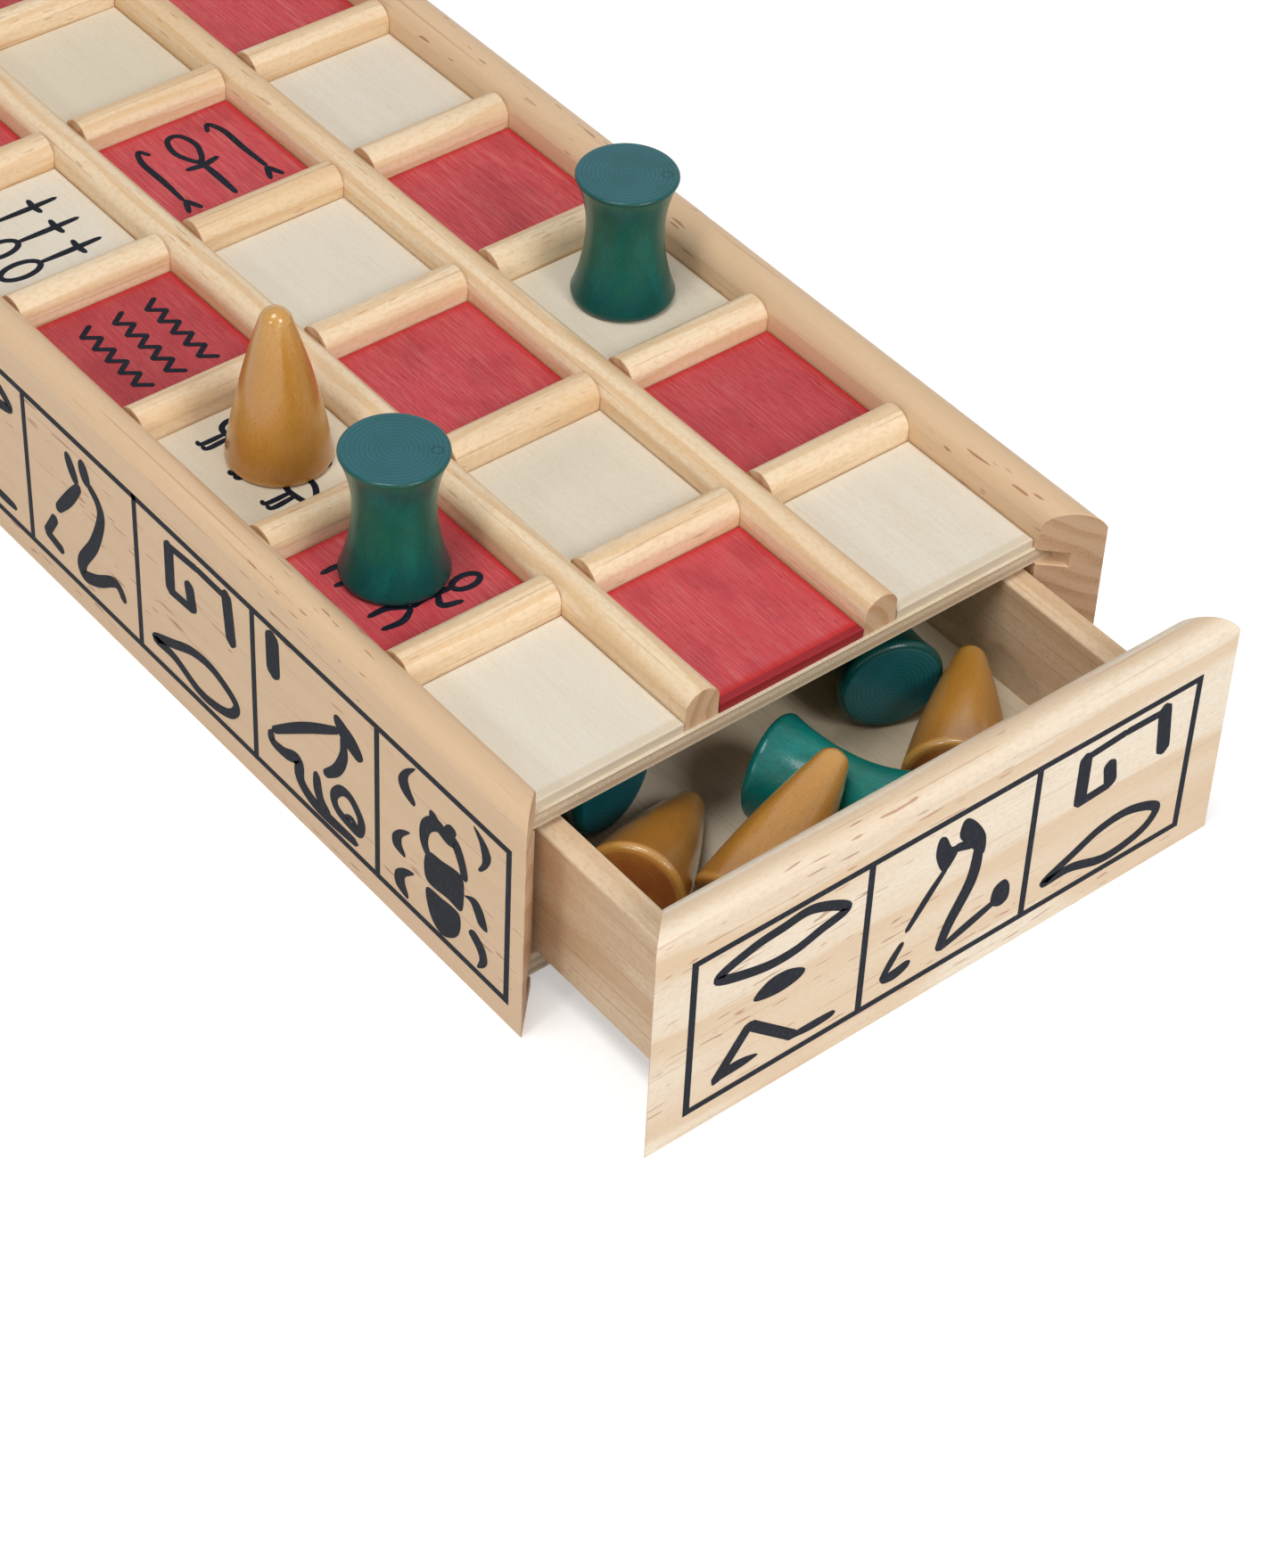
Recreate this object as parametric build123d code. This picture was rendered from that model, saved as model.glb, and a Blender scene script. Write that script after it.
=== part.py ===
"""Senet game box.

A moulded pine case carries a playing surface of three rows of ten squares, parted by
D-section rails.  A drawer slides into the open end of the case and stores the pawns.

Millimetres.  +Z is up and z = 0 is the table.  The drawer pulls out towards -Y, and the
origin is the middle of the footprint with the drawer standing open as it is modelled.
"""
from build123d import *
import os
from math import asin, cos, radians, sin

os.makedirs("parts", exist_ok=True)

# ---------------------------------------------------------------- playing surface
COLUMNS = 3
ROWS = 10
SQUARE = 31.0            # clear width between two rails
FRONT_ROW_EXTRA = 1.2    # the row at the open end is this much longer
TILE_THICKNESS = 2.0
TILE_GAP = 0.2           # on every side of a tile
TILE_EDGE_ROUND = 0.4    # sanded top edges
RAIL_WIDTH = 7.0
RAIL_HEIGHT = 7.2
RAIL_SHOULDER = 4.6      # height at which a rail's sides begin to round over

# ---------------------------------------------------------------- case mouldings
BOARD_THICKNESS = 8.0
BOARD_HEIGHT = 47.9      # to the crest
CREST_INSET = 3.2        # crest, measured in from the outer face
OUTER_SHOULDER = 2.2     # drop from the crest to the outer corner
INNER_SHOULDER = 3.5     # drop from the crest to the inner corner
TILE_DEPTH = 6.9         # playing surface below the crest
GROOVE_DEPTH = 4.0
GROOVE_END_GAP = 0.3     # between a panel's edge and the bottom of its groove

TOP_PANEL_THICKNESS = 3.0
TOP_PANEL_SETBACK = 0.4  # panel edge behind the inner corner of the mitres
TILE_SETBACK = 0.7       # tiles and long rails behind the panel's edge
BOTTOM_PANEL_THICKNESS = 5.0
BOTTOM_PANEL_HEIGHT = 2.4

# ---------------------------------------------------------------- drawer
DRAWER_OPEN = 31.5       # how far it stands open as modelled
DRAWER_RUNNING_GAP = 0.1
DRAWER_SIDE_GAP = 1.3
DRAWER_TOP_GAP = 1.2     # between the drawer's sides and the top panel
DRAWER_BACK_GAP = 3.0    # behind the drawer when it is shut
DRAWER_SIDE_THICKNESS = 5.0
DRAWER_BACK_THICKNESS = 5.0
DRAWER_BOTTOM_THICKNESS = 2.5
DRAWER_BOTTOM_HEIGHT = 3.0   # underside, above the lower edge of the drawer sides
DRAWER_GROOVE_DEPTH = 2.2
DRAWER_GROOVE_END_GAP = 0.2
DRAWER_EDGE_ROUND = 0.5  # sanded top edges of the sides and back

# ---------------------------------------------------------------- pawns
CONE_HEIGHT = 31.5
CONE_RADIUS = 9.35
CONE_TIP_RADIUS = 2.95
CONE_BELLY = 0.6         # how far the side bows out between foot and tip
CONE_FOOT_ROUND = 1.0
SPOOL_HEIGHT = 26.5
SPOOL_FOOT_RADIUS = 9.45
SPOOL_TOP_RADIUS = 9.3
SPOOL_WAIST_RADIUS = 7.05
SPOOL_WAIST_HEIGHT = 15.0
SPOOL_FOOT_ROUND = 1.4
SPOOL_TOP_ROUND = 0.5
LYING_GAP = 0.1          # between a lying pawn and the drawer's floor

# Pawns on the board: column, row, and offset from the middle of the square.
BOARD_PAWNS = [
    ("spool_1", "spool", 0, 1, (-0.4, 2.0)),
    ("cone_1", "cone", 0, 2, (1.5, -0.2)),
    ("spool_2", "spool", 2, 2, (0.9, 0.7)),
]

# Pawns lying in the drawer: the middle of the foot from the left side's inner face and
# from the back face of the drawer's front, the heading of the top (0 is +X, 90 is +Y),
# and how far the top rises above level.
STORED_PAWNS = [
    ("cone_2", "cone", (5.0, 21.2), 31.0, -12.5),
    ("cone_3", "cone", (18.4, 8.8), 19.5, 23.0),
    ("cone_4", "cone", (64.6, 9.7), 43.5, 1.7),
    ("cone_5", "cone", (55.2, 68.0), 160.0, -12.5),
    ("spool_3", "spool", (42.1, 31.6), -69.0, 0.0),
    ("spool_4", "spool", (71.2, 33.0), 68.6, 0.0),
    ("spool_5", "spool", (18.8, 42.0), 102.0, 0.0),
]

# ---------------------------------------------------------------- worked out
PITCH = SQUARE + RAIL_WIDTH
CLEAR_WIDTH = COLUMNS * SQUARE + (COLUMNS - 1) * RAIL_WIDTH
CASE_WIDTH = CLEAR_WIDTH + 2 * BOARD_THICKNESS
TILES_FRONT = BOARD_THICKNESS + TOP_PANEL_SETBACK + TILE_SETBACK
GRID_LENGTH = ROWS * SQUARE + (ROWS - 1) * RAIL_WIDTH + FRONT_ROW_EXTRA
CASE_LENGTH = TILES_FRONT + GRID_LENGTH + BOARD_THICKNESS
CASE_FRONT = -(CASE_LENGTH - DRAWER_OPEN) / 2
CASE_BACK = CASE_FRONT + CASE_LENGTH
CLEAR_BACK = CASE_BACK - BOARD_THICKNESS
TILE_TOP = BOARD_HEIGHT - TILE_DEPTH
TOP_PANEL_TOP = TILE_TOP - TILE_THICKNESS
TOP_PANEL_UNDER = TOP_PANEL_TOP - TOP_PANEL_THICKNESS
BOTTOM_PANEL_TOP = BOTTOM_PANEL_HEIGHT + BOTTOM_PANEL_THICKNESS
PANEL_WIDTH = CLEAR_WIDTH + 2 * (GROOVE_DEPTH - GROOVE_END_GAP)
PANEL_FRONT = CASE_FRONT + BOARD_THICKNESS + TOP_PANEL_SETBACK
PANEL_BACK = CLEAR_BACK + GROOVE_DEPTH - GROOVE_END_GAP

DRAWER_FRONT = CASE_FRONT - DRAWER_OPEN
DRAWER_INSIDE_FRONT = DRAWER_FRONT + BOARD_THICKNESS
DRAWER_BACK = CLEAR_BACK - DRAWER_BACK_GAP - DRAWER_OPEN
DRAWER_INSIDE_BACK = DRAWER_BACK - DRAWER_BACK_THICKNESS
DRAWER_UNDER = BOTTOM_PANEL_TOP + DRAWER_RUNNING_GAP
DRAWER_SIDE_TOP = TOP_PANEL_UNDER - DRAWER_TOP_GAP
DRAWER_WIDTH = CLEAR_WIDTH - 2 * DRAWER_SIDE_GAP
DRAWER_CLEAR_WIDTH = DRAWER_WIDTH - 2 * DRAWER_SIDE_THICKNESS
DRAWER_BOTTOM_UNDER = DRAWER_UNDER + DRAWER_BOTTOM_HEIGHT
DRAWER_FLOOR = DRAWER_BOTTOM_UNDER + DRAWER_BOTTOM_THICKNESS


def box(x_span, y_span, z_span):
    """A plain block between the given limits on each axis."""
    low = (x_span[0], y_span[0], z_span[0])
    size = (x_span[1] - x_span[0], y_span[1] - y_span[0], z_span[1] - z_span[0])
    return Pos(*low) * Box(*size, align=(Align.MIN, Align.MIN, Align.MIN))


def ease_top(block, rounding):
    """The block with the edges of its top face rounded over."""
    return fillet(block.faces().sort_by(Axis.Z)[-1].edges(), rounding)


def column_middle(column):
    """X of the middle of a column of squares."""
    return (column - (COLUMNS - 1) / 2) * PITCH


def row_span(row):
    """Y of the near and far edges of a row of squares."""
    far = CASE_FRONT + TILES_FRONT + FRONT_ROW_EXTRA + SQUARE + row * PITCH
    near = far - SQUARE
    if row == 0:
        near -= FRONT_ROW_EXTRA
    return near, far


# ---------------------------------------------------------------- case mouldings
def moulding_section():
    """Cross-section of the case moulding: X in from the outer face, Y up."""
    crest = (CREST_INSET, BOARD_HEIGHT)
    outer = (0, BOARD_HEIGHT - OUTER_SHOULDER)
    inner = (BOARD_THICKNESS, BOARD_HEIGHT - INNER_SHOULDER)
    outline = [
        TangentArc(crest, outer, tangent=(-1, 0)),
        Polyline(outer, (0, 0), (BOARD_THICKNESS, 0), inner),
        TangentArc(crest, inner, tangent=(1, 0)),
    ]
    return make_face(outline)


def groove(length, under, thickness, depth):
    """The slot that a panel of this thickness needs in a moulding's inner face."""
    half = length / 2
    return box((-half, half), (BOARD_THICKNESS - depth, BOARD_THICKNESS + 1),
               (under, under + thickness))


def mitred_board(length):
    """A moulding along X, outer face at y = 0, with both ends mitred inwards."""
    section = Plane((-length / 2, 0, 0), x_dir=(0, 1, 0), z_dir=(1, 0, 0))
    board = extrude(section * moulding_section(), length)
    inner_half = length / 2 - BOARD_THICKNESS
    plan = make_face(Polyline(
        (-length / 2, 0), (length / 2, 0),
        (inner_half, BOARD_THICKNESS), (-inner_half, BOARD_THICKNESS), close=True))
    return board & extrude(plan, BOARD_HEIGHT + 1)


def case_board(length):
    """A moulding with the grooves for the case's top and bottom panels."""
    board = mitred_board(length)
    board -= groove(length, TOP_PANEL_UNDER, TOP_PANEL_THICKNESS, GROOVE_DEPTH)
    board -= groove(length, BOTTOM_PANEL_HEIGHT, BOTTOM_PANEL_THICKNESS, GROOVE_DEPTH)
    return board


def side_board(side):
    """The long moulding on the left (-1) or the right (+1)."""
    middle = (CASE_FRONT + CASE_BACK) / 2
    turn = Rot(0, 0, 90 * side)
    return Pos(side * CASE_WIDTH / 2, middle, 0) * turn * case_board(CASE_LENGTH)


def end_board():
    """The short moulding that closes the far end."""
    return Pos(0, CASE_BACK, 0) * Rot(0, 0, 180) * case_board(CASE_WIDTH)


def case_panel(under, thickness):
    """A plywood panel held in the grooves of the side boards and the end board."""
    half = PANEL_WIDTH / 2
    return box((-half, half), (PANEL_FRONT, PANEL_BACK), (under, under + thickness))


# ---------------------------------------------------------------- playing surface
def square_tile(column, row):
    """One plywood square, glued to the top panel."""
    middle = column_middle(column)
    half = SQUARE / 2 - TILE_GAP
    near, far = row_span(row)
    if row > 0:
        near += TILE_GAP
    tile = box((middle - half, middle + half), (near, far - TILE_GAP),
               (TOP_PANEL_TOP, TILE_TOP))
    return ease_top(tile, TILE_EDGE_ROUND)


def rail_section():
    """D-section of the dividing rails: flat foot, upright sides and a rounded top."""
    half = RAIL_WIDTH / 2
    left, right = (-half, RAIL_SHOULDER), (half, RAIL_SHOULDER)
    return make_face([
        Polyline(left, (-half, 0), (half, 0), right),
        ThreePointArc(left, (0, RAIL_HEIGHT), right),
    ])


def long_rail(gap):
    """The rail between two columns, from the open end to the end board."""
    middle = (column_middle(gap) + column_middle(gap + 1)) / 2
    front = CASE_FRONT + TILES_FRONT
    section = Plane((middle, front, TOP_PANEL_TOP), x_dir=(-1, 0, 0), z_dir=(0, 1, 0))
    return extrude(section * rail_section(), CLEAR_BACK - front)


def cross_rails(column):
    """The short rails between the rows of one column."""
    left = column_middle(column) - SQUARE / 2
    rails = []
    for row in range(ROWS - 1):
        middle = row_span(row)[1] + RAIL_WIDTH / 2
        section = Plane((left, middle, TOP_PANEL_TOP), x_dir=(0, 1, 0), z_dir=(1, 0, 0))
        rails.append(extrude(section * rail_section(), SQUARE))
    return Compound(children=rails)


# ---------------------------------------------------------------- drawer
def drawer_front():
    """The short moulding with the groove for the drawer's bottom."""
    board = mitred_board(CASE_WIDTH)
    grooved = DRAWER_CLEAR_WIDTH + 2 * DRAWER_GROOVE_DEPTH
    board -= groove(grooved, DRAWER_BOTTOM_UNDER, DRAWER_BOTTOM_THICKNESS,
                    DRAWER_GROOVE_DEPTH)
    return Pos(0, DRAWER_FRONT, 0) * board


def drawer_side(side):
    """The drawer's left (-1) or right (+1) side, with its groove."""
    inner = side * DRAWER_CLEAR_WIDTH / 2
    outer = side * DRAWER_WIDTH / 2
    slot = inner + side * DRAWER_GROOVE_DEPTH
    y_span = (DRAWER_INSIDE_FRONT, DRAWER_BACK)
    board = ease_top(box(sorted((inner, outer)), y_span, (DRAWER_UNDER, DRAWER_SIDE_TOP)),
                     DRAWER_EDGE_ROUND)
    return board - box(sorted((inner - side, slot)),
                       (DRAWER_INSIDE_FRONT - 1, DRAWER_INSIDE_BACK + DRAWER_GROOVE_DEPTH),
                       (DRAWER_BOTTOM_UNDER, DRAWER_FLOOR))


def drawer_back():
    """The board between the drawer's sides, with its groove."""
    half = DRAWER_CLEAR_WIDTH / 2
    board = ease_top(box((-half, half), (DRAWER_INSIDE_BACK, DRAWER_BACK),
                         (DRAWER_UNDER, DRAWER_SIDE_TOP)),
                     DRAWER_EDGE_ROUND)
    return board - box((-half - 1, half + 1),
                       (DRAWER_INSIDE_BACK - 1, DRAWER_INSIDE_BACK + DRAWER_GROOVE_DEPTH),
                       (DRAWER_BOTTOM_UNDER, DRAWER_FLOOR))


def drawer_bottom():
    """The drawer's plywood floor, held in grooves on all four sides."""
    reach = DRAWER_GROOVE_DEPTH - DRAWER_GROOVE_END_GAP
    half = DRAWER_CLEAR_WIDTH / 2 + reach
    return box((-half, half),
               (DRAWER_INSIDE_FRONT - reach, DRAWER_INSIDE_BACK + reach),
               (DRAWER_BOTTOM_UNDER, DRAWER_FLOOR))


# ---------------------------------------------------------------- pawns
def quarter_round(radius, height, rounding, outwards):
    """Quarter arc at the rim of a turned end; outwards is +1 at a foot, -1 at a top."""
    centre = (radius - rounding, height + outwards * rounding)
    bend = radians(45)
    start = (radius - rounding, height)
    middle = (centre[0] + rounding * sin(bend), centre[1] - outwards * rounding * cos(bend))
    end = (radius, height + outwards * rounding)
    return ThreePointArc(start, middle, end)


def turned(outline):
    """A solid of revolution about Z from an outline in X (radius) and Y (height)."""
    return revolve(Plane.XZ * make_face(outline), Axis.Z)


def cone_pawn():
    """The tall pawn: a slightly bellied cone with a round tip."""
    tip_centre = CONE_HEIGHT - CONE_TIP_RADIUS
    slope = asin((CONE_RADIUS - CONE_TIP_RADIUS) / (tip_centre - CONE_FOOT_ROUND))
    foot = (CONE_RADIUS, CONE_FOOT_ROUND)
    shoulder = (CONE_TIP_RADIUS * cos(slope), tip_centre + CONE_TIP_RADIUS * sin(slope))
    belly = ((foot[0] + shoulder[0]) / 2 + CONE_BELLY * cos(slope),
             (foot[1] + shoulder[1]) / 2 + CONE_BELLY * sin(slope))
    bend = (slope + radians(90)) / 2
    crown = (CONE_TIP_RADIUS * cos(bend), tip_centre + CONE_TIP_RADIUS * sin(bend))
    return turned([
        Polyline((0, CONE_HEIGHT), (0, 0), (CONE_RADIUS - CONE_FOOT_ROUND, 0)),
        quarter_round(CONE_RADIUS, 0, CONE_FOOT_ROUND, 1),
        ThreePointArc(foot, belly, shoulder),
        ThreePointArc(shoulder, crown, (0, CONE_HEIGHT)),
    ])


def spool_pawn():
    """The waisted pawn: two flared ends that meet smoothly at the waist."""
    waist = (SPOOL_WAIST_RADIUS, SPOOL_WAIST_HEIGHT)
    foot = (SPOOL_FOOT_RADIUS, SPOOL_FOOT_ROUND)
    top = (SPOOL_TOP_RADIUS, SPOOL_HEIGHT - SPOOL_TOP_ROUND)
    return turned([
        Polyline((SPOOL_TOP_RADIUS - SPOOL_TOP_ROUND, SPOOL_HEIGHT), (0, SPOOL_HEIGHT),
                 (0, 0), (SPOOL_FOOT_RADIUS - SPOOL_FOOT_ROUND, 0)),
        quarter_round(SPOOL_FOOT_RADIUS, 0, SPOOL_FOOT_ROUND, 1),
        TangentArc(waist, foot, tangent=(0, -1)),
        TangentArc(waist, top, tangent=(0, 1)),
        quarter_round(SPOOL_TOP_RADIUS, SPOOL_HEIGHT, SPOOL_TOP_ROUND, -1),
    ])


def pawn(kind):
    """A pawn standing on z = 0."""
    return cone_pawn() if kind == "cone" else spool_pawn()


def standing_pawn(kind, column, row, offset):
    """A pawn that stands on a square of the board."""
    near, far = row_span(row)
    return Pos(column_middle(column) + offset[0], far - SQUARE / 2 + offset[1],
               TILE_TOP) * pawn(kind)


def stored_pawn(kind, foot, heading, rise):
    """A pawn that lies on the drawer's floor."""
    lying = Rot(0, 0, heading) * Rot(0, 90 - rise, 0) * pawn(kind)
    lift = DRAWER_FLOOR + LYING_GAP - lying.bounding_box().min.Z
    left = -DRAWER_CLEAR_WIDTH / 2
    return Pos(left + foot[0], DRAWER_INSIDE_FRONT + foot[1], lift) * lying


# ---------------------------------------------------------------- every node
def all_nodes():
    """Every piece under its name."""
    nodes = {
        "side_board_left": side_board(-1),
        "side_board_right": side_board(1),
        "end_board": end_board(),
        "top_panel": case_panel(TOP_PANEL_UNDER, TOP_PANEL_THICKNESS),
        "bottom_panel": case_panel(BOTTOM_PANEL_HEIGHT, BOTTOM_PANEL_THICKNESS),
        "drawer_front": drawer_front(),
        "drawer_side_left": drawer_side(-1),
        "drawer_side_right": drawer_side(1),
        "drawer_back": drawer_back(),
        "drawer_bottom": drawer_bottom(),
    }
    for gap in range(COLUMNS - 1):
        nodes[f"long_rail_{gap + 1}"] = long_rail(gap)
    for column in range(COLUMNS):
        nodes[f"cross_rails_{column + 1}"] = cross_rails(column)
        for row in range(ROWS):
            nodes[f"square_{column + 1}_{row + 1:02d}"] = square_tile(column, row)
    for name, kind, column, row, offset in BOARD_PAWNS:
        nodes[name] = standing_pawn(kind, column, row, offset)
    for name, kind, foot, heading, rise in STORED_PAWNS:
        nodes[name] = stored_pawn(kind, foot, heading, rise)
    return nodes


for node, shape in all_nodes().items():
    export_step(shape, f"parts/{node}.step")
print(f"case {CASE_WIDTH:.1f} x {CASE_LENGTH:.1f} x {BOARD_HEIGHT:.1f} mm,"
      f" drawer open {DRAWER_OPEN:.1f} mm")
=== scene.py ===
"""Looks of the senet game box.

Pine mouldings, half-round rails, turned pawns and painted signs are worked out here as
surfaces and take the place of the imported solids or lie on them.  Everything is in
metres, +Z up, with the table at z = 0 and the drawer towards -Y.
"""

from math import atan2, cos, pi, radians, sin

import bmesh
import bpy
import numpy as np
from bpy.props import (
    FloatProperty,
    FloatVectorProperty,
    IntProperty,
    PointerProperty,
)
from mathutils import Matrix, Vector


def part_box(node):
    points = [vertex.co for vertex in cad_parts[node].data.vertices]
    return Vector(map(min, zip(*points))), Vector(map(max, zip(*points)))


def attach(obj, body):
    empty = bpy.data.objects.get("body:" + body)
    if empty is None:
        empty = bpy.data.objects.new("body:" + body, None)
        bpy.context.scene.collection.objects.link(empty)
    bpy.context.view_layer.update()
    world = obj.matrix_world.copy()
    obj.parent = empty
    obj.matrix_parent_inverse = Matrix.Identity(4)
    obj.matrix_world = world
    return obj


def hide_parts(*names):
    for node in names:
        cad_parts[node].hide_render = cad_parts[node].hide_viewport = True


bl_info = {
    "name": "Senet game box",
    "version": (1, 0, 0),
    "blender": (4, 5, 0),
    "location": "View3D > Sidebar > Senet",
    "description": "Builds the boards, rails, squares, signs and pawns of a senet box",
    "category": "Object",
}

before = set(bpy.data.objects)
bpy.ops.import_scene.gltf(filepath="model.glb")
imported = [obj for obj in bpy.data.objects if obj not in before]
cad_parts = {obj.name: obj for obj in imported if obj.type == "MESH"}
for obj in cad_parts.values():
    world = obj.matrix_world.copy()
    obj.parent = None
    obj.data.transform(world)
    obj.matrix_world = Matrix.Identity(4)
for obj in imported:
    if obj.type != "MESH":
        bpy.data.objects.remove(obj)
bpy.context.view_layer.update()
MM = 0.001

# How far a short rail sits out of square, as a slope.
SEAT_SKEW = 0.0016
# Room left round a sign in its cell, in widths of the ruled line.
SIGN_ROOM = 2.15
# Brush of the squares' marks against the boards' brush.
MARK_BRUSH = 0.6
# Real tool lines on a turned end are finer than a picture shows, so these are drawn
# coarser, this many millimetres apart.
TOOL_LINES = 0.8
# Middle and radius, in millimetres, of the round mark on a spool's top.
HELD_AT, HELD_RADIUS = (5.4, -4.4), 0.9
# Millimetres, higher than any cone, whose tip is all side and no end.
NO_TOP = 999.0
# Frame and optical centre of the photograph, in its pixels from the left and the top.
PHOTO_WIDTH, PHOTO_HEIGHT = 1440, 1759
OPTICAL_CENTRE = (791.7, 731.2)
# Half the width of the floor, and how its own glow grows away from the box.
FLOOR_REACH = 6.0
GLOW_NEAR, GLOW_FAR, GLOW_LEAST = 0.35, 1.0, 0.4
# The lamps' names, places, widths and powers in watts, and the point they all face.
LAMPS = (("key", (-0.40, -0.20, 1.45), 0.6, 9.0),
         ("front", (0.15, -1.35, 1.05), 0.6, 9.5),
         ("low", (-0.35, -1.5, 0.3), 0.8, 3.4),
         ("window", (-0.95, -0.35, 0.62), 0.2, 1.6))
LAMP_AIM = (0, -0.08, 0.02)


def paint(code):
    """Linear colour of an sRGB hex value."""
    values = np.array([int(code[i:i + 2], 16) for i in (1, 3, 5)]) / 255
    return tuple(np.where(values <= 0.04045, values / 12.92,
                          ((values + 0.055) / 1.055) ** 2.4))


def colour(name, description, code):
    """A colour that the panel shows, with its default written as sRGB hex."""
    return FloatVectorProperty(name=name, description=description, subtype="COLOR",
                               size=3, min=0, max=1, default=paint(code))


def length(name, description, millimetres):
    """A length that the panel shows, with its default written in millimetres."""
    return FloatProperty(name=name, description=description, subtype="DISTANCE",
                         unit="LENGTH", min=0, default=millimetres * MM, precision=5)


# ---------------------------------------------------------------- sizes and colours
class SenetWood(bpy.types.PropertyGroup):
    """Section of the mouldings and rails, and the colours of the bare wood."""
    crest_inset: length("Crest inset", "Crest of a moulding from its outer face", 3.2)
    outer_drop: length("Outer drop", "Crest down to the outer corner", 2.2)
    inner_drop: length("Inner drop", "Crest down to the inner corner", 3.5)
    groove_depth: length("Groove depth", "Slots that hold the two panels", 4.0)
    rail_shoulder: length("Rail shoulder", "Height where a rail begins to round", 4.6)
    arris: length("Sanded edge", "Width of the sanded edges", 0.16)
    pine: colour("Pine", "Early wood of the mouldings", "#E9DCC8")
    pine_pink: colour("Pinkish pine", "Early wood of the long boards", "#DDBC98")
    pine_late: colour("Pine late wood", "Darker bands of the rings", "#D3B28B")
    pine_fleck: colour("Resin flecks", "Short brown streaks", "#96552C")
    pine_end: colour("End grain", "Cut ends and mitres", "#CDAC90")
    rail: colour("Rail", "Wood of the half-round rails", "#EDD6B5")
    rail_late: colour("Rail late wood", "Darker bands of the rails", "#D2A670")
    tray: colour("Drawer pine", "Planed sides of the drawer", "#E6CFB0")
    tray_late: colour("Drawer late wood", "Darker bands of the drawer", "#BF9468")
    ply: colour("Plywood", "Faces of the plywood panels", "#DDD0B8")
    ply_warm: colour("Warm plywood", "Warmer clouds of the veneer", "#D2BE9C")
    ply_core: colour("Plywood core", "Cross layer seen on the edges", "#B0957A")


class SenetSquares(bpy.types.PropertyGroup):
    """The playing squares."""
    pitch: length("Pitch", "From one square to the next", 38.0)
    half: length("Half square", "Half the width of a square", 15.3)
    plain: colour("Plain square", "Birch face of a plain square", "#E2D9C9")
    plain_warm: colour("Warm square", "Warmer birch of some squares", "#DCCDB2")
    plain_line: colour("Birch lines", "Fine fibres of the birch", "#C9B391")
    red: colour("Red stain", "Stained squares", "#C2434A")
    red_deep: colour("Deep red", "Pores and edges, where stain gathers", "#7F1622")
    red_pale: colour("Pale red", "Fibres that took less stain", "#CF6A68")
    # Brighter red along a stained square's rim: partly stain that bled along the rails,
    # partly painted bounce light in the shade beside them.
    red_rim_and_bounce: colour("Rim red", "Bright stain that gathers along the rim", "#B81512")


class SenetInk(bpy.types.PropertyGroup):
    """Painted lines and signs."""
    ink: colour("Paint", "Blue-black paint of the signs", "#121721")
    ink_worn: colour("Worn paint", "Where the wood shows through", "#30343F")
    film: length("Film", "Height of the paint above the wood", 0.05)
    line: length("Border line", "Width of the ruled lines", 1.3)
    brush: length("Brush", "Width of a full brush stroke", 1.9)
    margin: length("Side margin", "Ruled border from a long board's end", 4.2)
    end_margin: length("End margin", "Ruled border from a short board's end", 8.1)
    low: length("Lower line", "Height of the lower ruled line", 5.4)
    high: length("Upper line", "Height of the upper ruled line", 39.2)
    long_cells: IntProperty(name="Side cells", description="Cells on a long side",
                            default=11, min=1)
    short_cells: IntProperty(name="End cells", description="Cells on a short side",
                             default=3, min=1)


class SenetPawns(bpy.types.PropertyGroup):
    """The turned pawns."""
    around: IntProperty(name="Steps around", description="Facets round a pawn",
                        default=96, min=12)
    cone_height: length("Cone height", "Foot to tip of a cone", 31.5)
    cone_foot: length("Cone foot", "Radius of a cone's foot", 9.35)
    tip: length("Cone tip", "Radius of a cone's tip", 2.95)
    belly: length("Cone belly", "How far a cone's side bows out", 0.6)
    cone_round: length("Cone rounding", "Rounded edge of a cone's foot", 1.0)
    spool_height: length("Spool height", "Foot to top of a spool", 26.5)
    spool_foot: length("Spool foot", "Radius of a spool's foot", 9.45)
    spool_top: length("Spool top", "Radius of a spool's top", 9.3)
    waist: length("Spool waist", "Radius at a spool's waist", 7.05)
    waist_height: length("Waist height", "Foot to waist of a spool", 15.0)
    foot_round: length("Spool foot rounding", "Rounded edge of its foot", 1.4)
    top_round: length("Spool top rounding", "Crisper edge of its top", 0.5)
    teal: colour("Teal stain", "Body colour of the spools", "#045350")
    # Light teal: where the stain took less, and also painted light on the palest spool.
    teal_light: colour("Light teal", "Where the stain took less", "#12857E")
    teal_dark: colour("Dark teal", "Where the stain gathers", "#06302F")
    # Golden green: patches where the wood shows through the stain, and painted
    # reflection of the box's wood on a spool's flanks and just under its top.
    teal_gold_and_reflection: colour("Golden green", "Wood glowing through the stain", "#1F6B40")
    teal_end: colour("Teal end grain", "Ends of the spools", "#1B5F68")
    honey: colour("Honey varnish", "Body colour of the cones", "#BD8434")
    honey_light: colour("Light honey", "Paler patches and rims", "#C9984A")
    honey_deep: colour("Deep honey", "Darker bands of the cones", "#8F5A29")
    honey_end: colour("Honey end grain", "Feet of the cones", "#9C5A2A")


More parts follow.
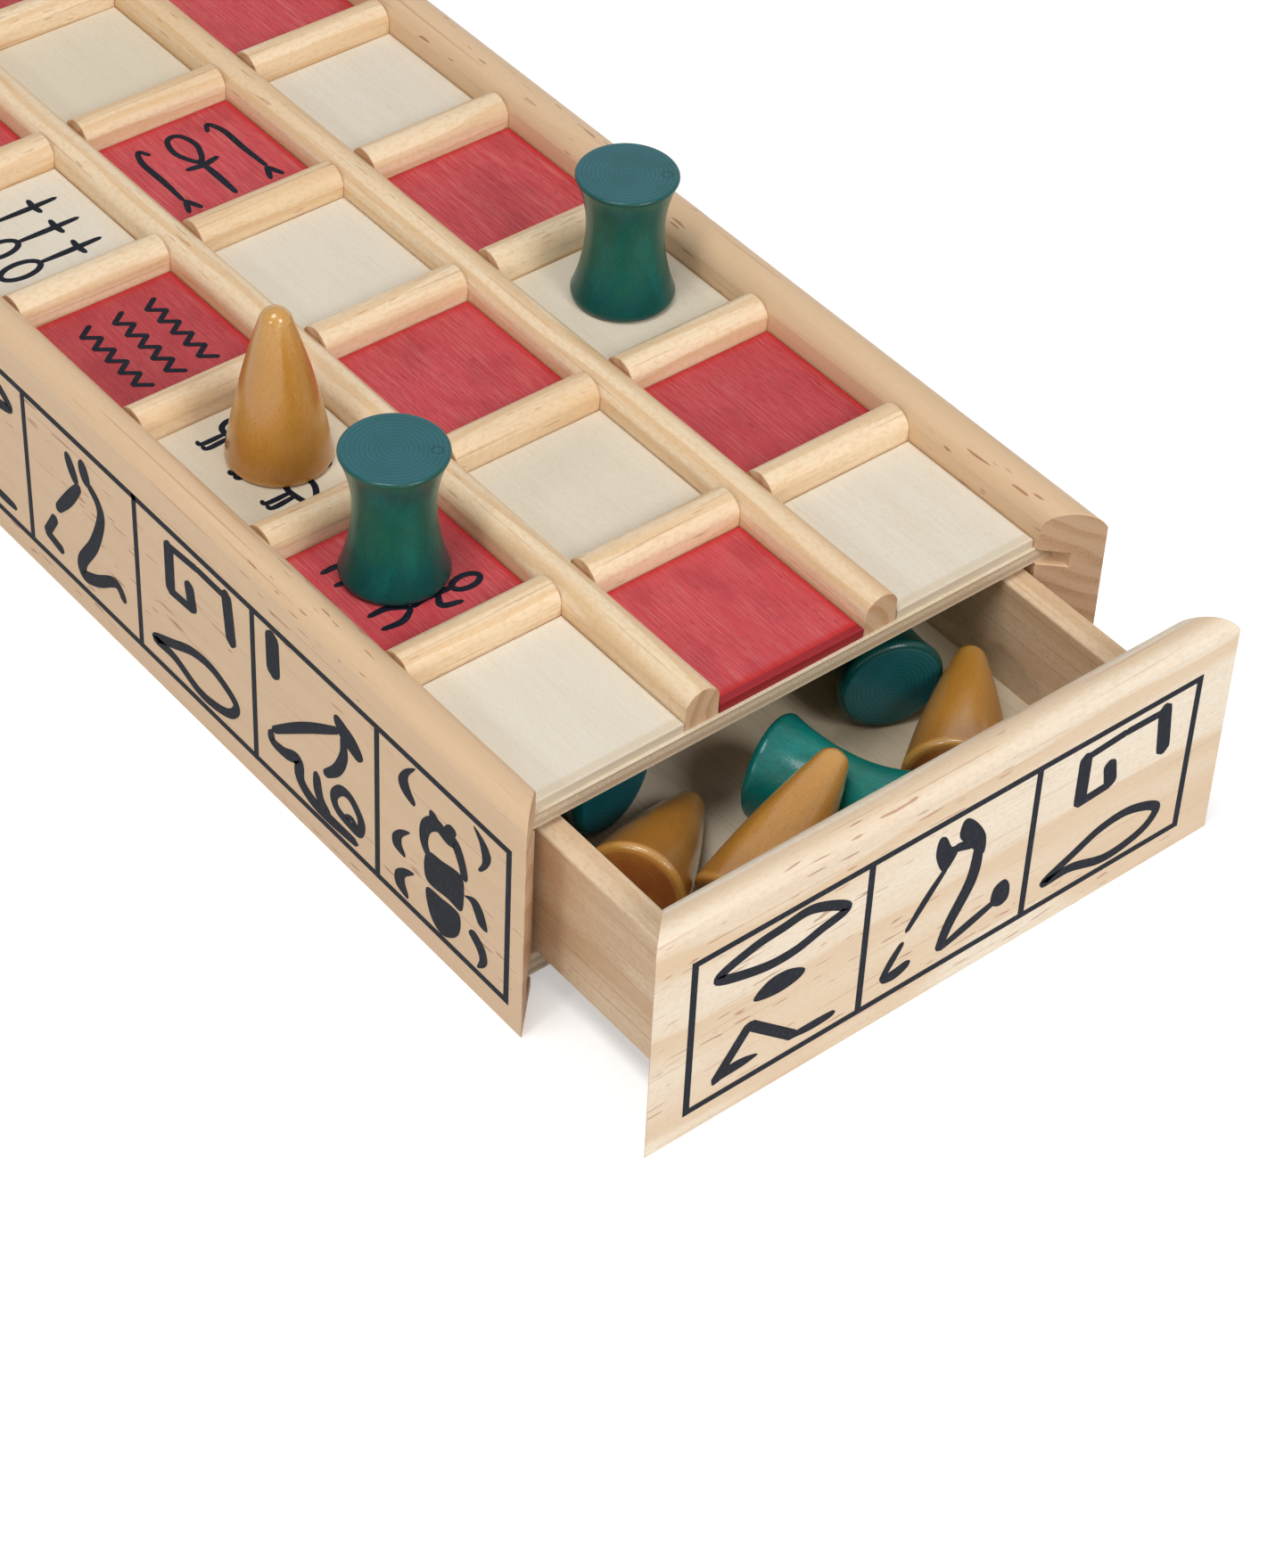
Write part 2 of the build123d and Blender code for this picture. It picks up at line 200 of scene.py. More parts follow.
class SenetStage(bpy.types.PropertyGroup):
    """The camera, lamps and floor."""
    azimuth: FloatProperty(name="Azimuth", description="Camera turned about the box",
                           subtype="ANGLE", default=radians(-41.9355))
    elevation: FloatProperty(name="Elevation", description="Camera above the table",
                             subtype="ANGLE", default=radians(42.6081))
    roll: FloatProperty(name="Roll", description="Camera turned about its view",
                        subtype="ANGLE", default=radians(3.8207))
    place: FloatVectorProperty(name="Place", description="Camera's place",
                               subtype="TRANSLATION", unit="LENGTH",
                               default=(-0.3362, -0.52377, 0.49101))
    lens: FloatProperty(name="Lens", description="Focal length on 36 mm film",
                        default=114.55, min=1)
    ambient: FloatProperty(name="Ambient", description="Light from all round",
                           default=0.26, min=0)
    floor: colour("Floor", "Plain pale floor", "#F0F0F0")


# ---------------------------------------------------------------- surfaces
def box_of(node):
    """Lowest and highest corner of a node's box, as arrays."""
    return [np.array(corner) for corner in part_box(node)]


def is_red(node):
    """Whether a square is a stained one.  They take turns along and across."""
    column, row = (int(part) for part in node.split("_")[1:])
    return (column + row) % 2 == 1


def grid_faces(rows, columns, wrap_rows=False, wrap_columns=False):
    """Quads over a grid of points numbered row by row: (i, j), (i+1, j), (i+1, j+1),
    (i, j+1), joined round where a direction wraps."""
    i = np.arange(rows if wrap_rows else rows - 1)
    j = np.arange(columns if wrap_columns else columns - 1)
    i, j = np.meshgrid(i, j, indexing="ij")
    down, right = (i + 1) % rows, (j + 1) % columns
    quads = [i * columns + j, down * columns + j, down * columns + right,
             i * columns + right]
    return np.stack(quads, -1).reshape(-1, 4)


def carried(starts, ends):
    """A closed section carried straight from its start points to its end points:
    P(i, t) = start_i + t (end_i - start_i), with a flat face over each end."""
    count = len(starts)
    points = np.concatenate([starts, ends])
    faces = grid_faces(2, count, wrap_columns=True).tolist()
    faces.append(list(range(count)))
    faces.append(list(range(2 * count - 1, count - 1, -1)))
    return points, faces


def joined(parts):
    """Several (points, faces) pairs as one."""
    points, faces, shift = [], [], 0
    for some, its_faces in parts:
        points.append(some)
        faces += [[index + shift for index in face] for face in its_faces]
        shift += len(some)
    return np.concatenate(points), faces


def make_piece(name, shape, body, material, stands_for=(), smooth=35,
               attribute=None, arris=0.0):
    """One mesh piece that rides on a body.  Its edges sharper than the smooth angle
    stay sharp, and an arris sands them by that width."""
    points, faces = shape
    mesh = bpy.data.meshes.new(name)
    mesh.from_pydata(points.tolist(), [], faces)
    if attribute is not None:
        layer = mesh.attributes.new("turned", "FLOAT_VECTOR", "POINT")
        layer.data.foreach_set("vector", attribute[:, :3].astype(np.float32).ravel())
        # How pale the pawn is painted: its own stain, and partly painted light where a
        # pawn lies lit.
        layer = mesh.attributes.new("stained", "FLOAT", "POINT")
        layer.data.foreach_set("value", attribute[:, 3].astype(np.float32))
    shell = bmesh.new()
    shell.from_mesh(mesh)
    bmesh.ops.recalc_face_normals(shell, faces=shell.faces)
    shell.to_mesh(mesh)
    shell.free()
    mesh.polygons.foreach_set("use_smooth", np.ones(len(mesh.polygons), bool))
    mesh.set_sharp_from_angle(angle=radians(smooth))
    mesh.materials.append(material)
    piece = bpy.data.objects.new(name, mesh)
    bpy.context.scene.collection.objects.link(piece)
    if arris:
        bevel = piece.modifiers.new("sanded", "BEVEL")
        bevel.width = arris
        bevel.segments = 2
        bevel.limit_method = "ANGLE"
        bevel.angle_limit = radians(38)
    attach(piece, body)
    if stands_for:
        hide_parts(*stands_for)
    return piece


def quarter_arc(crest, foot, steps):
    """Arc that leaves the crest level and ends at the foot.  With dx across and dz
    down, its radius is (dx^2 + dz^2) / (2 dz), centred straight under the crest."""
    across, down = foot[0] - crest[0], crest[1] - foot[1]
    radius = (across ** 2 + down ** 2) / (2 * down)
    turn = np.linspace(0, atan2(across, radius - down), steps)
    return np.stack([crest[0] + radius * np.sin(turn),
                     crest[1] - radius * (1 - np.cos(turn))], 1)


def moulding_section(wood, thickness, height, grooves):
    """Outline of the case moulding, as distance in from the outer face and height:
    up the outer face, two arcs over the crest, and down the grooved inner face."""
    crest = (wood.crest_inset, height)
    outer = quarter_arc(crest, (0, height - wood.outer_drop), 14)[::-1]
    inner = quarter_arc(crest, (thickness, height - wood.inner_drop), 16)[1:]
    depth = thickness - wood.groove_depth
    slots = [[(thickness, top), (depth, top), (depth, under), (thickness, under)]
             for under, top in grooves]
    return np.concatenate([[(0, 0)], outer, inner, *slots, [(thickness, 0)]])


def rail_section(wood, width, height):
    """Outline of a half-round rail about its middle: a flat foot, upright sides to
    the shoulder and one arc whose radius is (a^2 + s^2) / (2 s) for half width a and
    rise s."""
    half, rise = width / 2, height - wood.rail_shoulder
    radius = (half ** 2 + rise ** 2) / (2 * rise)
    turn = np.linspace(-1, 1, 25) * np.arcsin(half / radius)
    arc = np.stack([radius * np.sin(turn), height - radius * (1 - np.cos(turn))], 1)
    return np.concatenate([[(-half, 0)], arc, [(half, 0)]])


# ---------------------------------------------------------------- shading
SMOOTH = {"interpolation_type": "SMOOTHSTEP"}
TINT = {"data_type": "RGBA"}


def add(tree, kind, inputs=(), output=0, **settings):
    """Adds one shader node with its settings, fills or links its inputs, and gives
    one of its outputs."""
    node = tree.nodes.new("ShaderNode" + kind)
    for key, value in settings.items():
        setattr(node, key, value)
    for key, value in dict(inputs).items():
        socket = node.inputs[key]
        if isinstance(value, bpy.types.NodeSocket):
            tree.links.new(value, socket)
        else:
            socket.default_value = (*value, 1) if socket.type == "RGBA" else value
    return node.outputs[output] if node.outputs else None


def bare(name):
    """An empty material and its node tree."""
    material = bpy.data.materials.new(name)
    material.use_nodes = True
    material.node_tree.nodes.clear()
    return material, material.node_tree


def coats(tree, colour, *layers):
    """Lays coats of colour over a base.  Each coat is a pattern, the two values
    between which it grows from nothing to full, its full strength, and its colour."""
    for pattern, low, high, full, tone in layers:
        shown = add(tree, "MapRange", {0: pattern, 1: low, 2: high, 4: full}, **SMOOTH)
        colour = add(tree, "Mix", {0: shown, 6: colour, 7: tone}, 2, **TINT)
    return colour


def relief(tree, depth, *layers):
    """Surface relief this many millimetres deep: the patterns, each times its weight,
    added up."""
    height = 0.0
    for pattern, weight in layers:
        height = add(tree, "Math", {0: pattern, 1: weight, 2: height},
                     operation="MULTIPLY_ADD")
    return add(tree, "Bump", {"Strength": 0.5, "Distance": depth * MM,
                              "Height": height})


def grain_place(tree, along):
    """Object coordinates in millimetres, turned so that Z runs along the grain."""
    source = add(tree, "VectorMath", {0: add(tree, "TexCoord", (), "Object"),
                                      "Scale": 1 / MM}, operation="SCALE")
    x, y, z = add(tree, "SeparateXYZ", {0: source}).node.outputs
    turned_axes = {"X": (y, z, x), "Y": (x, z, y), "Z": (x, y, z)}[along]
    return add(tree, "CombineXYZ", dict(enumerate(turned_axes)))


def fibres(tree, place, across, lengthwise, detail=3.0, seed=0.0):
    """Noise drawn out along the grain: features per millimetre across and along."""
    scaled = add(tree, "VectorMath",
                 {0: place, 1: (across, across, lengthwise), 2: (seed, seed, seed)},
                 operation="MULTIPLY_ADD")
    return add(tree, "TexNoise", {"Vector": scaled, "Scale": 1.0, "Detail": detail,
                                  "Roughness": 0.55})


def facing(tree, axis):
    """How squarely the surface faces along an axis, either way: 0 to 1."""
    normal = add(tree, "NewGeometry", (), "Normal")
    dot = add(tree, "VectorMath", {0: normal, 1: axis}, "Value",
              operation="DOT_PRODUCT")
    return add(tree, "Math", {0: dot}, operation="ABSOLUTE")


def growth_rings(tree, place, pith, spacing, seed):
    """Late wood of softwood rings: the distance from the pith, bent by slow noise and
    divided by the spacing, climbs through each ring and drops at its edge."""
    bend = fibres(tree, place, 0.045, 0.010, 2.0, seed)
    off = add(tree, "VectorMath", {0: place, 1: (*pith, 0)}, operation="SUBTRACT")
    flat = add(tree, "VectorMath", {0: off, 1: (1, 1, 0.006)}, operation="MULTIPLY")
    radius = add(tree, "VectorMath", {0: flat}, "Value", operation="LENGTH")
    bent = add(tree, "Math", {0: bend, 1: 11.0, 2: radius}, operation="MULTIPLY_ADD")
    turns = add(tree, "Math", {0: bent, 1: spacing}, operation="DIVIDE")
    phase = add(tree, "Math", {0: turns}, operation="FRACT")
    climb = add(tree, "MapRange", {0: phase, 1: 0.2, 2: 0.86}, **SMOOTH)
    drop = add(tree, "MapRange", {0: phase, 1: 1.0, 2: 0.86}, **SMOOTH)
    return add(tree, "Math", {0: climb, 1: drop}, operation="MULTIPLY")


def sawn_pine(name, along, light, late, end, fleck, pith, ring, seed, flecks=0.7,
              contrast=0.5, rough=0.42, shift=None):
    """Pine, sawn and planed or moulded, under thin clear satin lacquer.

    The eye sees pale early wood with soft honey bands every few millimetres, fine
    fibres, sparse thin dark lines and short red-brown resin streaks along the grain,
    and browner, speckled end grain where a cut crosses it.
    """
    material, tree = bare(name)
    place = grain_place(tree, along)
    if shift is not None:
        place = add(tree, "VectorMath", {0: place, 1: shift(tree)}, operation="ADD")
    rings = growth_rings(tree, place, pith, ring, seed)
    broad = fibres(tree, place, 0.07, 0.006, 1.0, seed + 7)
    fine = fibres(tree, place, 2.6, 0.045, 3.0, seed + 3)
    lines = fibres(tree, place, 2.0, 0.028, 0.0, seed + 5)
    streaks = fibres(tree, place, 1.7, 0.2, 0.0, seed + 11)
    patch = fibres(tree, place, 0.05, 0.02, 0.0, seed + 13)
    mottle = fibres(tree, place, 1.5, 0.8, 3.0, seed + 19)
    pores = fibres(tree, place, 2.4, 2.4, 3.0, seed + 17)
    resin = add(tree, "MapRange", {0: streaks, 1: 0.74, 2: 0.79}, **SMOOTH)
    where = add(tree, "MapRange", {0: patch, 1: 0.50, 2: 0.60}, **SMOOTH)
    resin = add(tree, "Math", {0: resin, 1: where}, operation="MULTIPLY")
    wood = coats(tree, light,
                 (broad, 0.40, 0.76, 0.4, late), (rings, 0.0, 1.0, contrast, late),
                 (fine, 0.42, 0.75, 0.2, late), (mottle, 0.42, 0.70, 0.3, late),
                 (lines, 0.72, 0.80, 0.3, fleck), (resin, 0.0, 1.0, flecks, fleck))
    cut = coats(tree, end, (rings, 0.0, 1.0, 0.45, fleck),
                (pores, 0.40, 0.62, 0.55, late), (pores, 0.60, 0.72, 0.5, fleck))
    axis = {"X": (1, 0, 0), "Y": (0, 1, 0), "Z": (0, 0, 1)}[along]
    crosscut = facing(tree, axis)
    wood = coats(tree, wood, (crosscut, 0.45, 0.66, 0.8, cut))
    gloss = add(tree, "Math", {0: fine, 1: 0.18, 2: rough - 0.09},
                operation="MULTIPLY_ADD")
    gloss = add(tree, "Math", {0: crosscut, 1: 0.2, 2: gloss}, operation="MULTIPLY_ADD")
    grooves = relief(tree, 0.07, (fine, 0.6), (lines, 0.5), (rings, -0.25))
    return closed(material, {"Base Color": wood, "Roughness": gloss,
                             "Normal": grooves, "Specular IOR Level": 0.4})


def closed(material, inputs):
    """The material with its surface shader made from these inputs."""
    tree = material.node_tree
    skin = add(tree, "BsdfPrincipled", inputs)
    add(tree, "OutputMaterial", {"Surface": skin})
    return material


def cell_by_cell(tree, first, pitch, offset):
    """The point moved so that the first place is at 0, the number of its cell, which
    is floor(point / pitch + offset), and a random colour for that cell."""
    source = add(tree, "TexCoord", (), "Object")
    moved = add(tree, "VectorMath", {0: source, 1: (*first, 0)}, operation="SUBTRACT")
    cells = add(tree, "VectorMath", {0: moved, 1: (1 / pitch, 1 / pitch, 0),
                                     2: (offset, offset, 0)},
                operation="MULTIPLY_ADD")
    cell = add(tree, "VectorMath", {0: cells}, operation="FLOOR")
    random = add(tree, "TexWhiteNoise", {"Vector": cell}, "Color",
                 noise_dimensions="3D")
    return moved, cell, random


def rail_by_rail(pitch, first):
    """Shifts the grain from one short rail to the next, so no two look alike."""
    def shift(tree):
        random = cell_by_cell(tree, first, pitch, 0.0)[2]
        return add(tree, "VectorMath", {0: random, "Scale": 60.0}, operation="SCALE")
    return shift


def plywood(name, wood, seed, layer, base):
    """Birch plywood, sanded and left bare.

    The faces show pale veneer with faint long fibres.  The edges show the layers, each
    one this many millimetres thick from the base up, and every second one is browner
    because it is cut across its grain.
    """
    material, tree = bare(name)
    place = grain_place(tree, "Y")
    fine = fibres(tree, place, 2.2, 0.04, 3.0, seed)
    broad = fibres(tree, place, 0.05, 0.012, 2.0, seed + 4)
    grit = fibres(tree, place, 3.0, 3.0, 2.0, seed + 9)
    face = coats(tree, wood.ply, (broad, 0.35, 0.7, 0.5, wood.ply_warm),
                 (fine, 0.45, 0.75, 0.3, wood.ply_core))
    height = add(tree, "SeparateXYZ", {0: place}).node.outputs[1]
    height = add(tree, "Math", {0: height, 1: base}, operation="SUBTRACT")
    layers = add(tree, "Math", {0: height, 1: layer}, operation="PINGPONG")
    edge = coats(tree, face, (layers, layer * 0.45, layer * 0.6, 0.6, wood.ply_core),
                 (grit, 0.4, 0.7, 0.4, wood.ply_core))
    level = facing(tree, (0, 0, 1))
    skin = coats(tree, edge, (level, 0.3, 0.7, 1.0, face))
    return closed(material, {"Base Color": skin, "Roughness": 0.55,
                             "Specular IOR Level": 0.3,
                             "Normal": relief(tree, 0.05, (fine, 0.6))})


def tile_place(tree, squares, first_y):
    """How near a point is to its square's rim, 0 in the middle and 1 at the edge, and
    a random colour for each square."""
    moved, cell, random = cell_by_cell(tree, (0, first_y), squares.pitch, 0.5)
    centre = add(tree, "VectorMath", {0: cell, "Scale": squares.pitch},
                 operation="SCALE")
    local = add(tree, "VectorMath", {0: moved, 1: centre}, operation="SUBTRACT")
    away = add(tree, "VectorMath", {0: local}, operation="ABSOLUTE")
    across, along = add(tree, "SeparateXYZ", {0: away}).node.outputs[:2]
    rim = add(tree, "Math", {0: across, 1: along}, operation="MAXIMUM")
    near = add(tree, "Math", {0: rim, 1: squares.half}, operation="DIVIDE")
    return near, random


def square_veneer(name, squares, stained, first_y):
    """Plywood playing square, sanded, its fibres running along the board.

    A plain one keeps pale greyish birch under matt lacquer.  A stained one is soaked in
    red: open pores and the sanded rim drink more of it and go deep, hard fibres stay
    pinker.  A band just inside the rim is painted a brighter red: partly stain that
    bled along the rails, partly painted bounce light in the shade beside them.  Every
    square shows its own piece of veneer.
    """
    material, tree = bare(name)
    near_rim, random = tile_place(tree, squares, first_y)
    own = add(tree, "VectorMath", {0: random, "Scale": 90.0}, operation="SCALE")
    place = add(tree, "VectorMath", {0: grain_place(tree, "Y"), 1: own},
                operation="ADD")
    fine = fibres(tree, place, 3.4, 0.10, 3.0, 1.0)
    wide = fibres(tree, place, 0.35, 0.03, 2.0, 2.0)
    pores = fibres(tree, place, 6.0, 0.5, 0.0, 3.0)
    cloud = fibres(tree, place, 0.12, 0.09, 2.0, 6.0)
    grit = fibres(tree, place, 2.2, 1.6, 2.0, 8.0)
    tone = add(tree, "SeparateXYZ", {0: random})
    if stained:
        face = coats(tree, squares.red,
                     (fine, 0.42, 0.68, 0.75, squares.red_pale),
                     (wide, 0.45, 0.66, 0.5, squares.red),
                     (cloud, 0.45, 0.7, 0.25, squares.red_deep),
                     (pores, 0.60, 0.76, 0.4, squares.red_deep),
                     (tone, 0.2, 1.0, 0.36, squares.red_deep),
                     # Painted bounce light and stain: a brighter red band just inside
                     # the rim.
                     (near_rim, 0.87, 1.0, 0.8, squares.red_rim_and_bounce),
                     (near_rim, 0.998, 1.004, 0.75, squares.red_deep))
    else:
        face = coats(tree, squares.plain,
                     (tone, 0.2, 1.0, 0.55, squares.plain_warm),
                     (wide, 0.42, 0.7, 0.25, squares.plain_warm),
                     (fine, 0.46, 0.74, 0.2, squares.plain_line),
                     (grit, 0.50, 0.70, 0.18, squares.plain_line),
                     (near_rim, 0.95, 1.0, 0.4, squares.plain_line))
    pitted = relief(tree, 0.06, (fine, 0.7), (pores, -0.6))
    return closed(material, {"Base Color": face, "Roughness": 0.5 if stained else 0.6,
                             "Specular IOR Level": 0.3, "Normal": pitted})


def sign_paint(name, ink):
    """Blue-black screen paint, satin and thin, so its tone wavers where the wood's
    pores take it in."""
    material, tree = bare(name)
    worn = fibres(tree, grain_place(tree, "Z"), 1.4, 0.7, 3.0)
    tone = coats(tree, ink.ink, (worn, 0.5, 0.75, 0.6, ink.ink_worn))
    return closed(material, {"Base Color": tone, "Roughness": 0.6,
                             "Specular IOR Level": 0.12})


def turned_beech(name, pawns, kind):
    """Beech turned on a lathe, stained or varnished, then glossed.

    The stain lies in patches along the grain.  The golden green round a spool's waist
    and just under its top is painted reflection of the box's wood round about, and the
    palest spool is partly painted light.  The ends show the tool's fine rings, and a
    spool's top a small mark where it was held.  The varnish is finely pitted, so a
    highlight breaks into specks.  The coordinates are the pawn's own, in millimetres,
    so the pattern lies with it.
    """
    material, tree = bare(name)
    own = add(tree, "Attribute", (), "Vector", attribute_name="turned")
    # How pale the pawn is painted: its own stain, and for spool_3 also painted light.
    pale = add(tree, "Attribute", (), "Fac", attribute_name="stained")
    height = add(tree, "SeparateXYZ", {0: own}).node.outputs[2]
    level = add(tree, "VectorMath", {0: own, 1: (1, 1, 0)}, operation="MULTIPLY")
    radius = add(tree, "VectorMath", {0: level}, "Value", operation="LENGTH")
    moved = add(tree, "VectorMath", {0: (43, 71, 29), "Scale": pale}, operation="SCALE")
    piece = add(tree, "VectorMath", {0: own, 1: moved}, operation="ADD")
    grain = fibres(tree, piece, 1.7, 0.16, 3.0, 2.0)
    patch = fibres(tree, piece, 0.19, 0.10, 2.0, 5.0)
    speck = fibres(tree, piece, 2.8, 2.0, 2.0, 8.0)
    wobble = add(tree, "Math", {0: grain, 1: 0.3, 2: radius}, operation="MULTIPLY_ADD")
    turns = add(tree, "Math", {0: wobble, 1: 2 * pi / TOOL_LINES}, operation="MULTIPLY")
    tool = add(tree, "Math", {0: turns}, operation="SINE")
    spool = kind == "spool"
    top = pawns.spool_height / MM if spool else NO_TOP
    low = add(tree, "MapRange", {0: height, 1: 0.12, 2: 0.02}, **SMOOTH)
    high = add(tree, "MapRange", {0: height, 1: top - 0.12, 2: top - 0.02}, **SMOOTH)
    flat = add(tree, "Math", {0: low, 1: high}, operation="MAXIMUM")
    if spool:
        side = coats(tree, pawns.teal,
                     # Paler teal: stain that took less, and for spool_3 painted light.
                     (pale, 0.2, 1.0, 0.9, pawns.teal_light),
                     (patch, 0.46, 0.72, 0.25, pawns.teal_light),
                     (grain, 0.48, 0.76, 0.3, pawns.teal_dark),
                     (patch, 0.50, 0.32, 0.2, pawns.teal_gold_and_reflection),
                     # Painted reflection: golden green round the waist and just under
                     # the top stands for the box's wood mirrored in the flanks.
                     (radius, 8.4, 7.1, 0.2, pawns.teal_gold_and_reflection),
                     (height, top - 3.6, top - 1.4, 0.22, pawns.teal_gold_and_reflection),
                     (height, top - 1.0, top - 0.4, 0.5, pawns.teal_dark),
                     (height, 9.0, 1.0, 0.45, pawns.teal_dark))
        end = coats(tree, pawns.teal_end, (patch, 0.4, 0.7, 0.4, pawns.teal),
                    (tool, -0.4, 0.9, 0.28, pawns.teal_dark))
        held = add(tree, "VectorMath", {0: own, 1: (*HELD_AT, top)}, "Value",
                   operation="DISTANCE")
        mark = add(tree, "Math", {0: held, 1: HELD_RADIUS}, operation="SUBTRACT")
        mark = add(tree, "Math", {0: mark}, operation="ABSOLUTE")
        end = coats(tree, end, (mark, 0.22, 0.08, 0.7, pawns.teal_dark))
    else:
        side = coats(tree, pawns.honey,
                     (pale, 0.3, 0.0, 0.6, pawns.honey_deep),
                     (patch, 0.42, 0.70, 0.12, pawns.honey_light),
                     (grain, 0.46, 0.78, 0.2, pawns.honey_deep),
                     (height, 22.0, 31.0, 0.5, pawns.honey_light),
                     (height, 9.0, 2.0, 0.35, pawns.honey_deep),
                     (height, 1.7, 0.7, 0.6, pawns.honey_light))
        end = coats(tree, pawns.honey_end, (patch, 0.4, 0.7, 0.4, pawns.honey),
                    (tool, -0.2, 0.9, 0.25, pawns.honey_deep),
                    (radius, 7.6, 8.3, 0.5, pawns.honey_light))
    dark = pawns.teal_dark if spool else pawns.honey_deep
    side = coats(tree, side, (speck, 0.52, 0.70, 0.35, dark))
    skin = coats(tree, side, (flat, 0.0, 1.0, 1.0, end))
    rings = add(tree, "Math", {0: tool, 1: flat}, operation="MULTIPLY")
    pitted = relief(tree, 0.05, (rings, 0.2), (speck, 1.1), (grain, 0.3))
    return closed(material, {"Base Color": skin, "Normal": pitted,
                             "Coat Normal": pitted, "Roughness": 0.3,
                             "Specular IOR Level": 0.12 if spool else 0.25,
                             "Coat Weight": 0.4 if spool else 0.9,
                             "Coat Roughness": 0.16})


# ---------------------------------------------------------------- signs
def circle(x, y, across, high, count=10):
    """Points on an ellipse, as control points of a closed stroke."""
    turn = np.linspace(0, 2 * pi, count, endpoint=False)
    return np.stack([x + across * np.cos(turn), y + high * np.sin(turn)], 1)


def both(points):
    """A stroke and its mirror image across the sign's upright middle line."""
    points = np.array(points, float)
    return points, points * (-1, 1)


def zigzag(y, teeth=5, reach=0.95, rise=0.14):
    """Points of a water ripple: teeth that go up and down about a level line."""
    x = np.linspace(-reach, reach, 2 * teeth + 1)
    return np.stack([x, y + rise * (-1.0) ** np.arange(2 * teeth + 1)], 1)


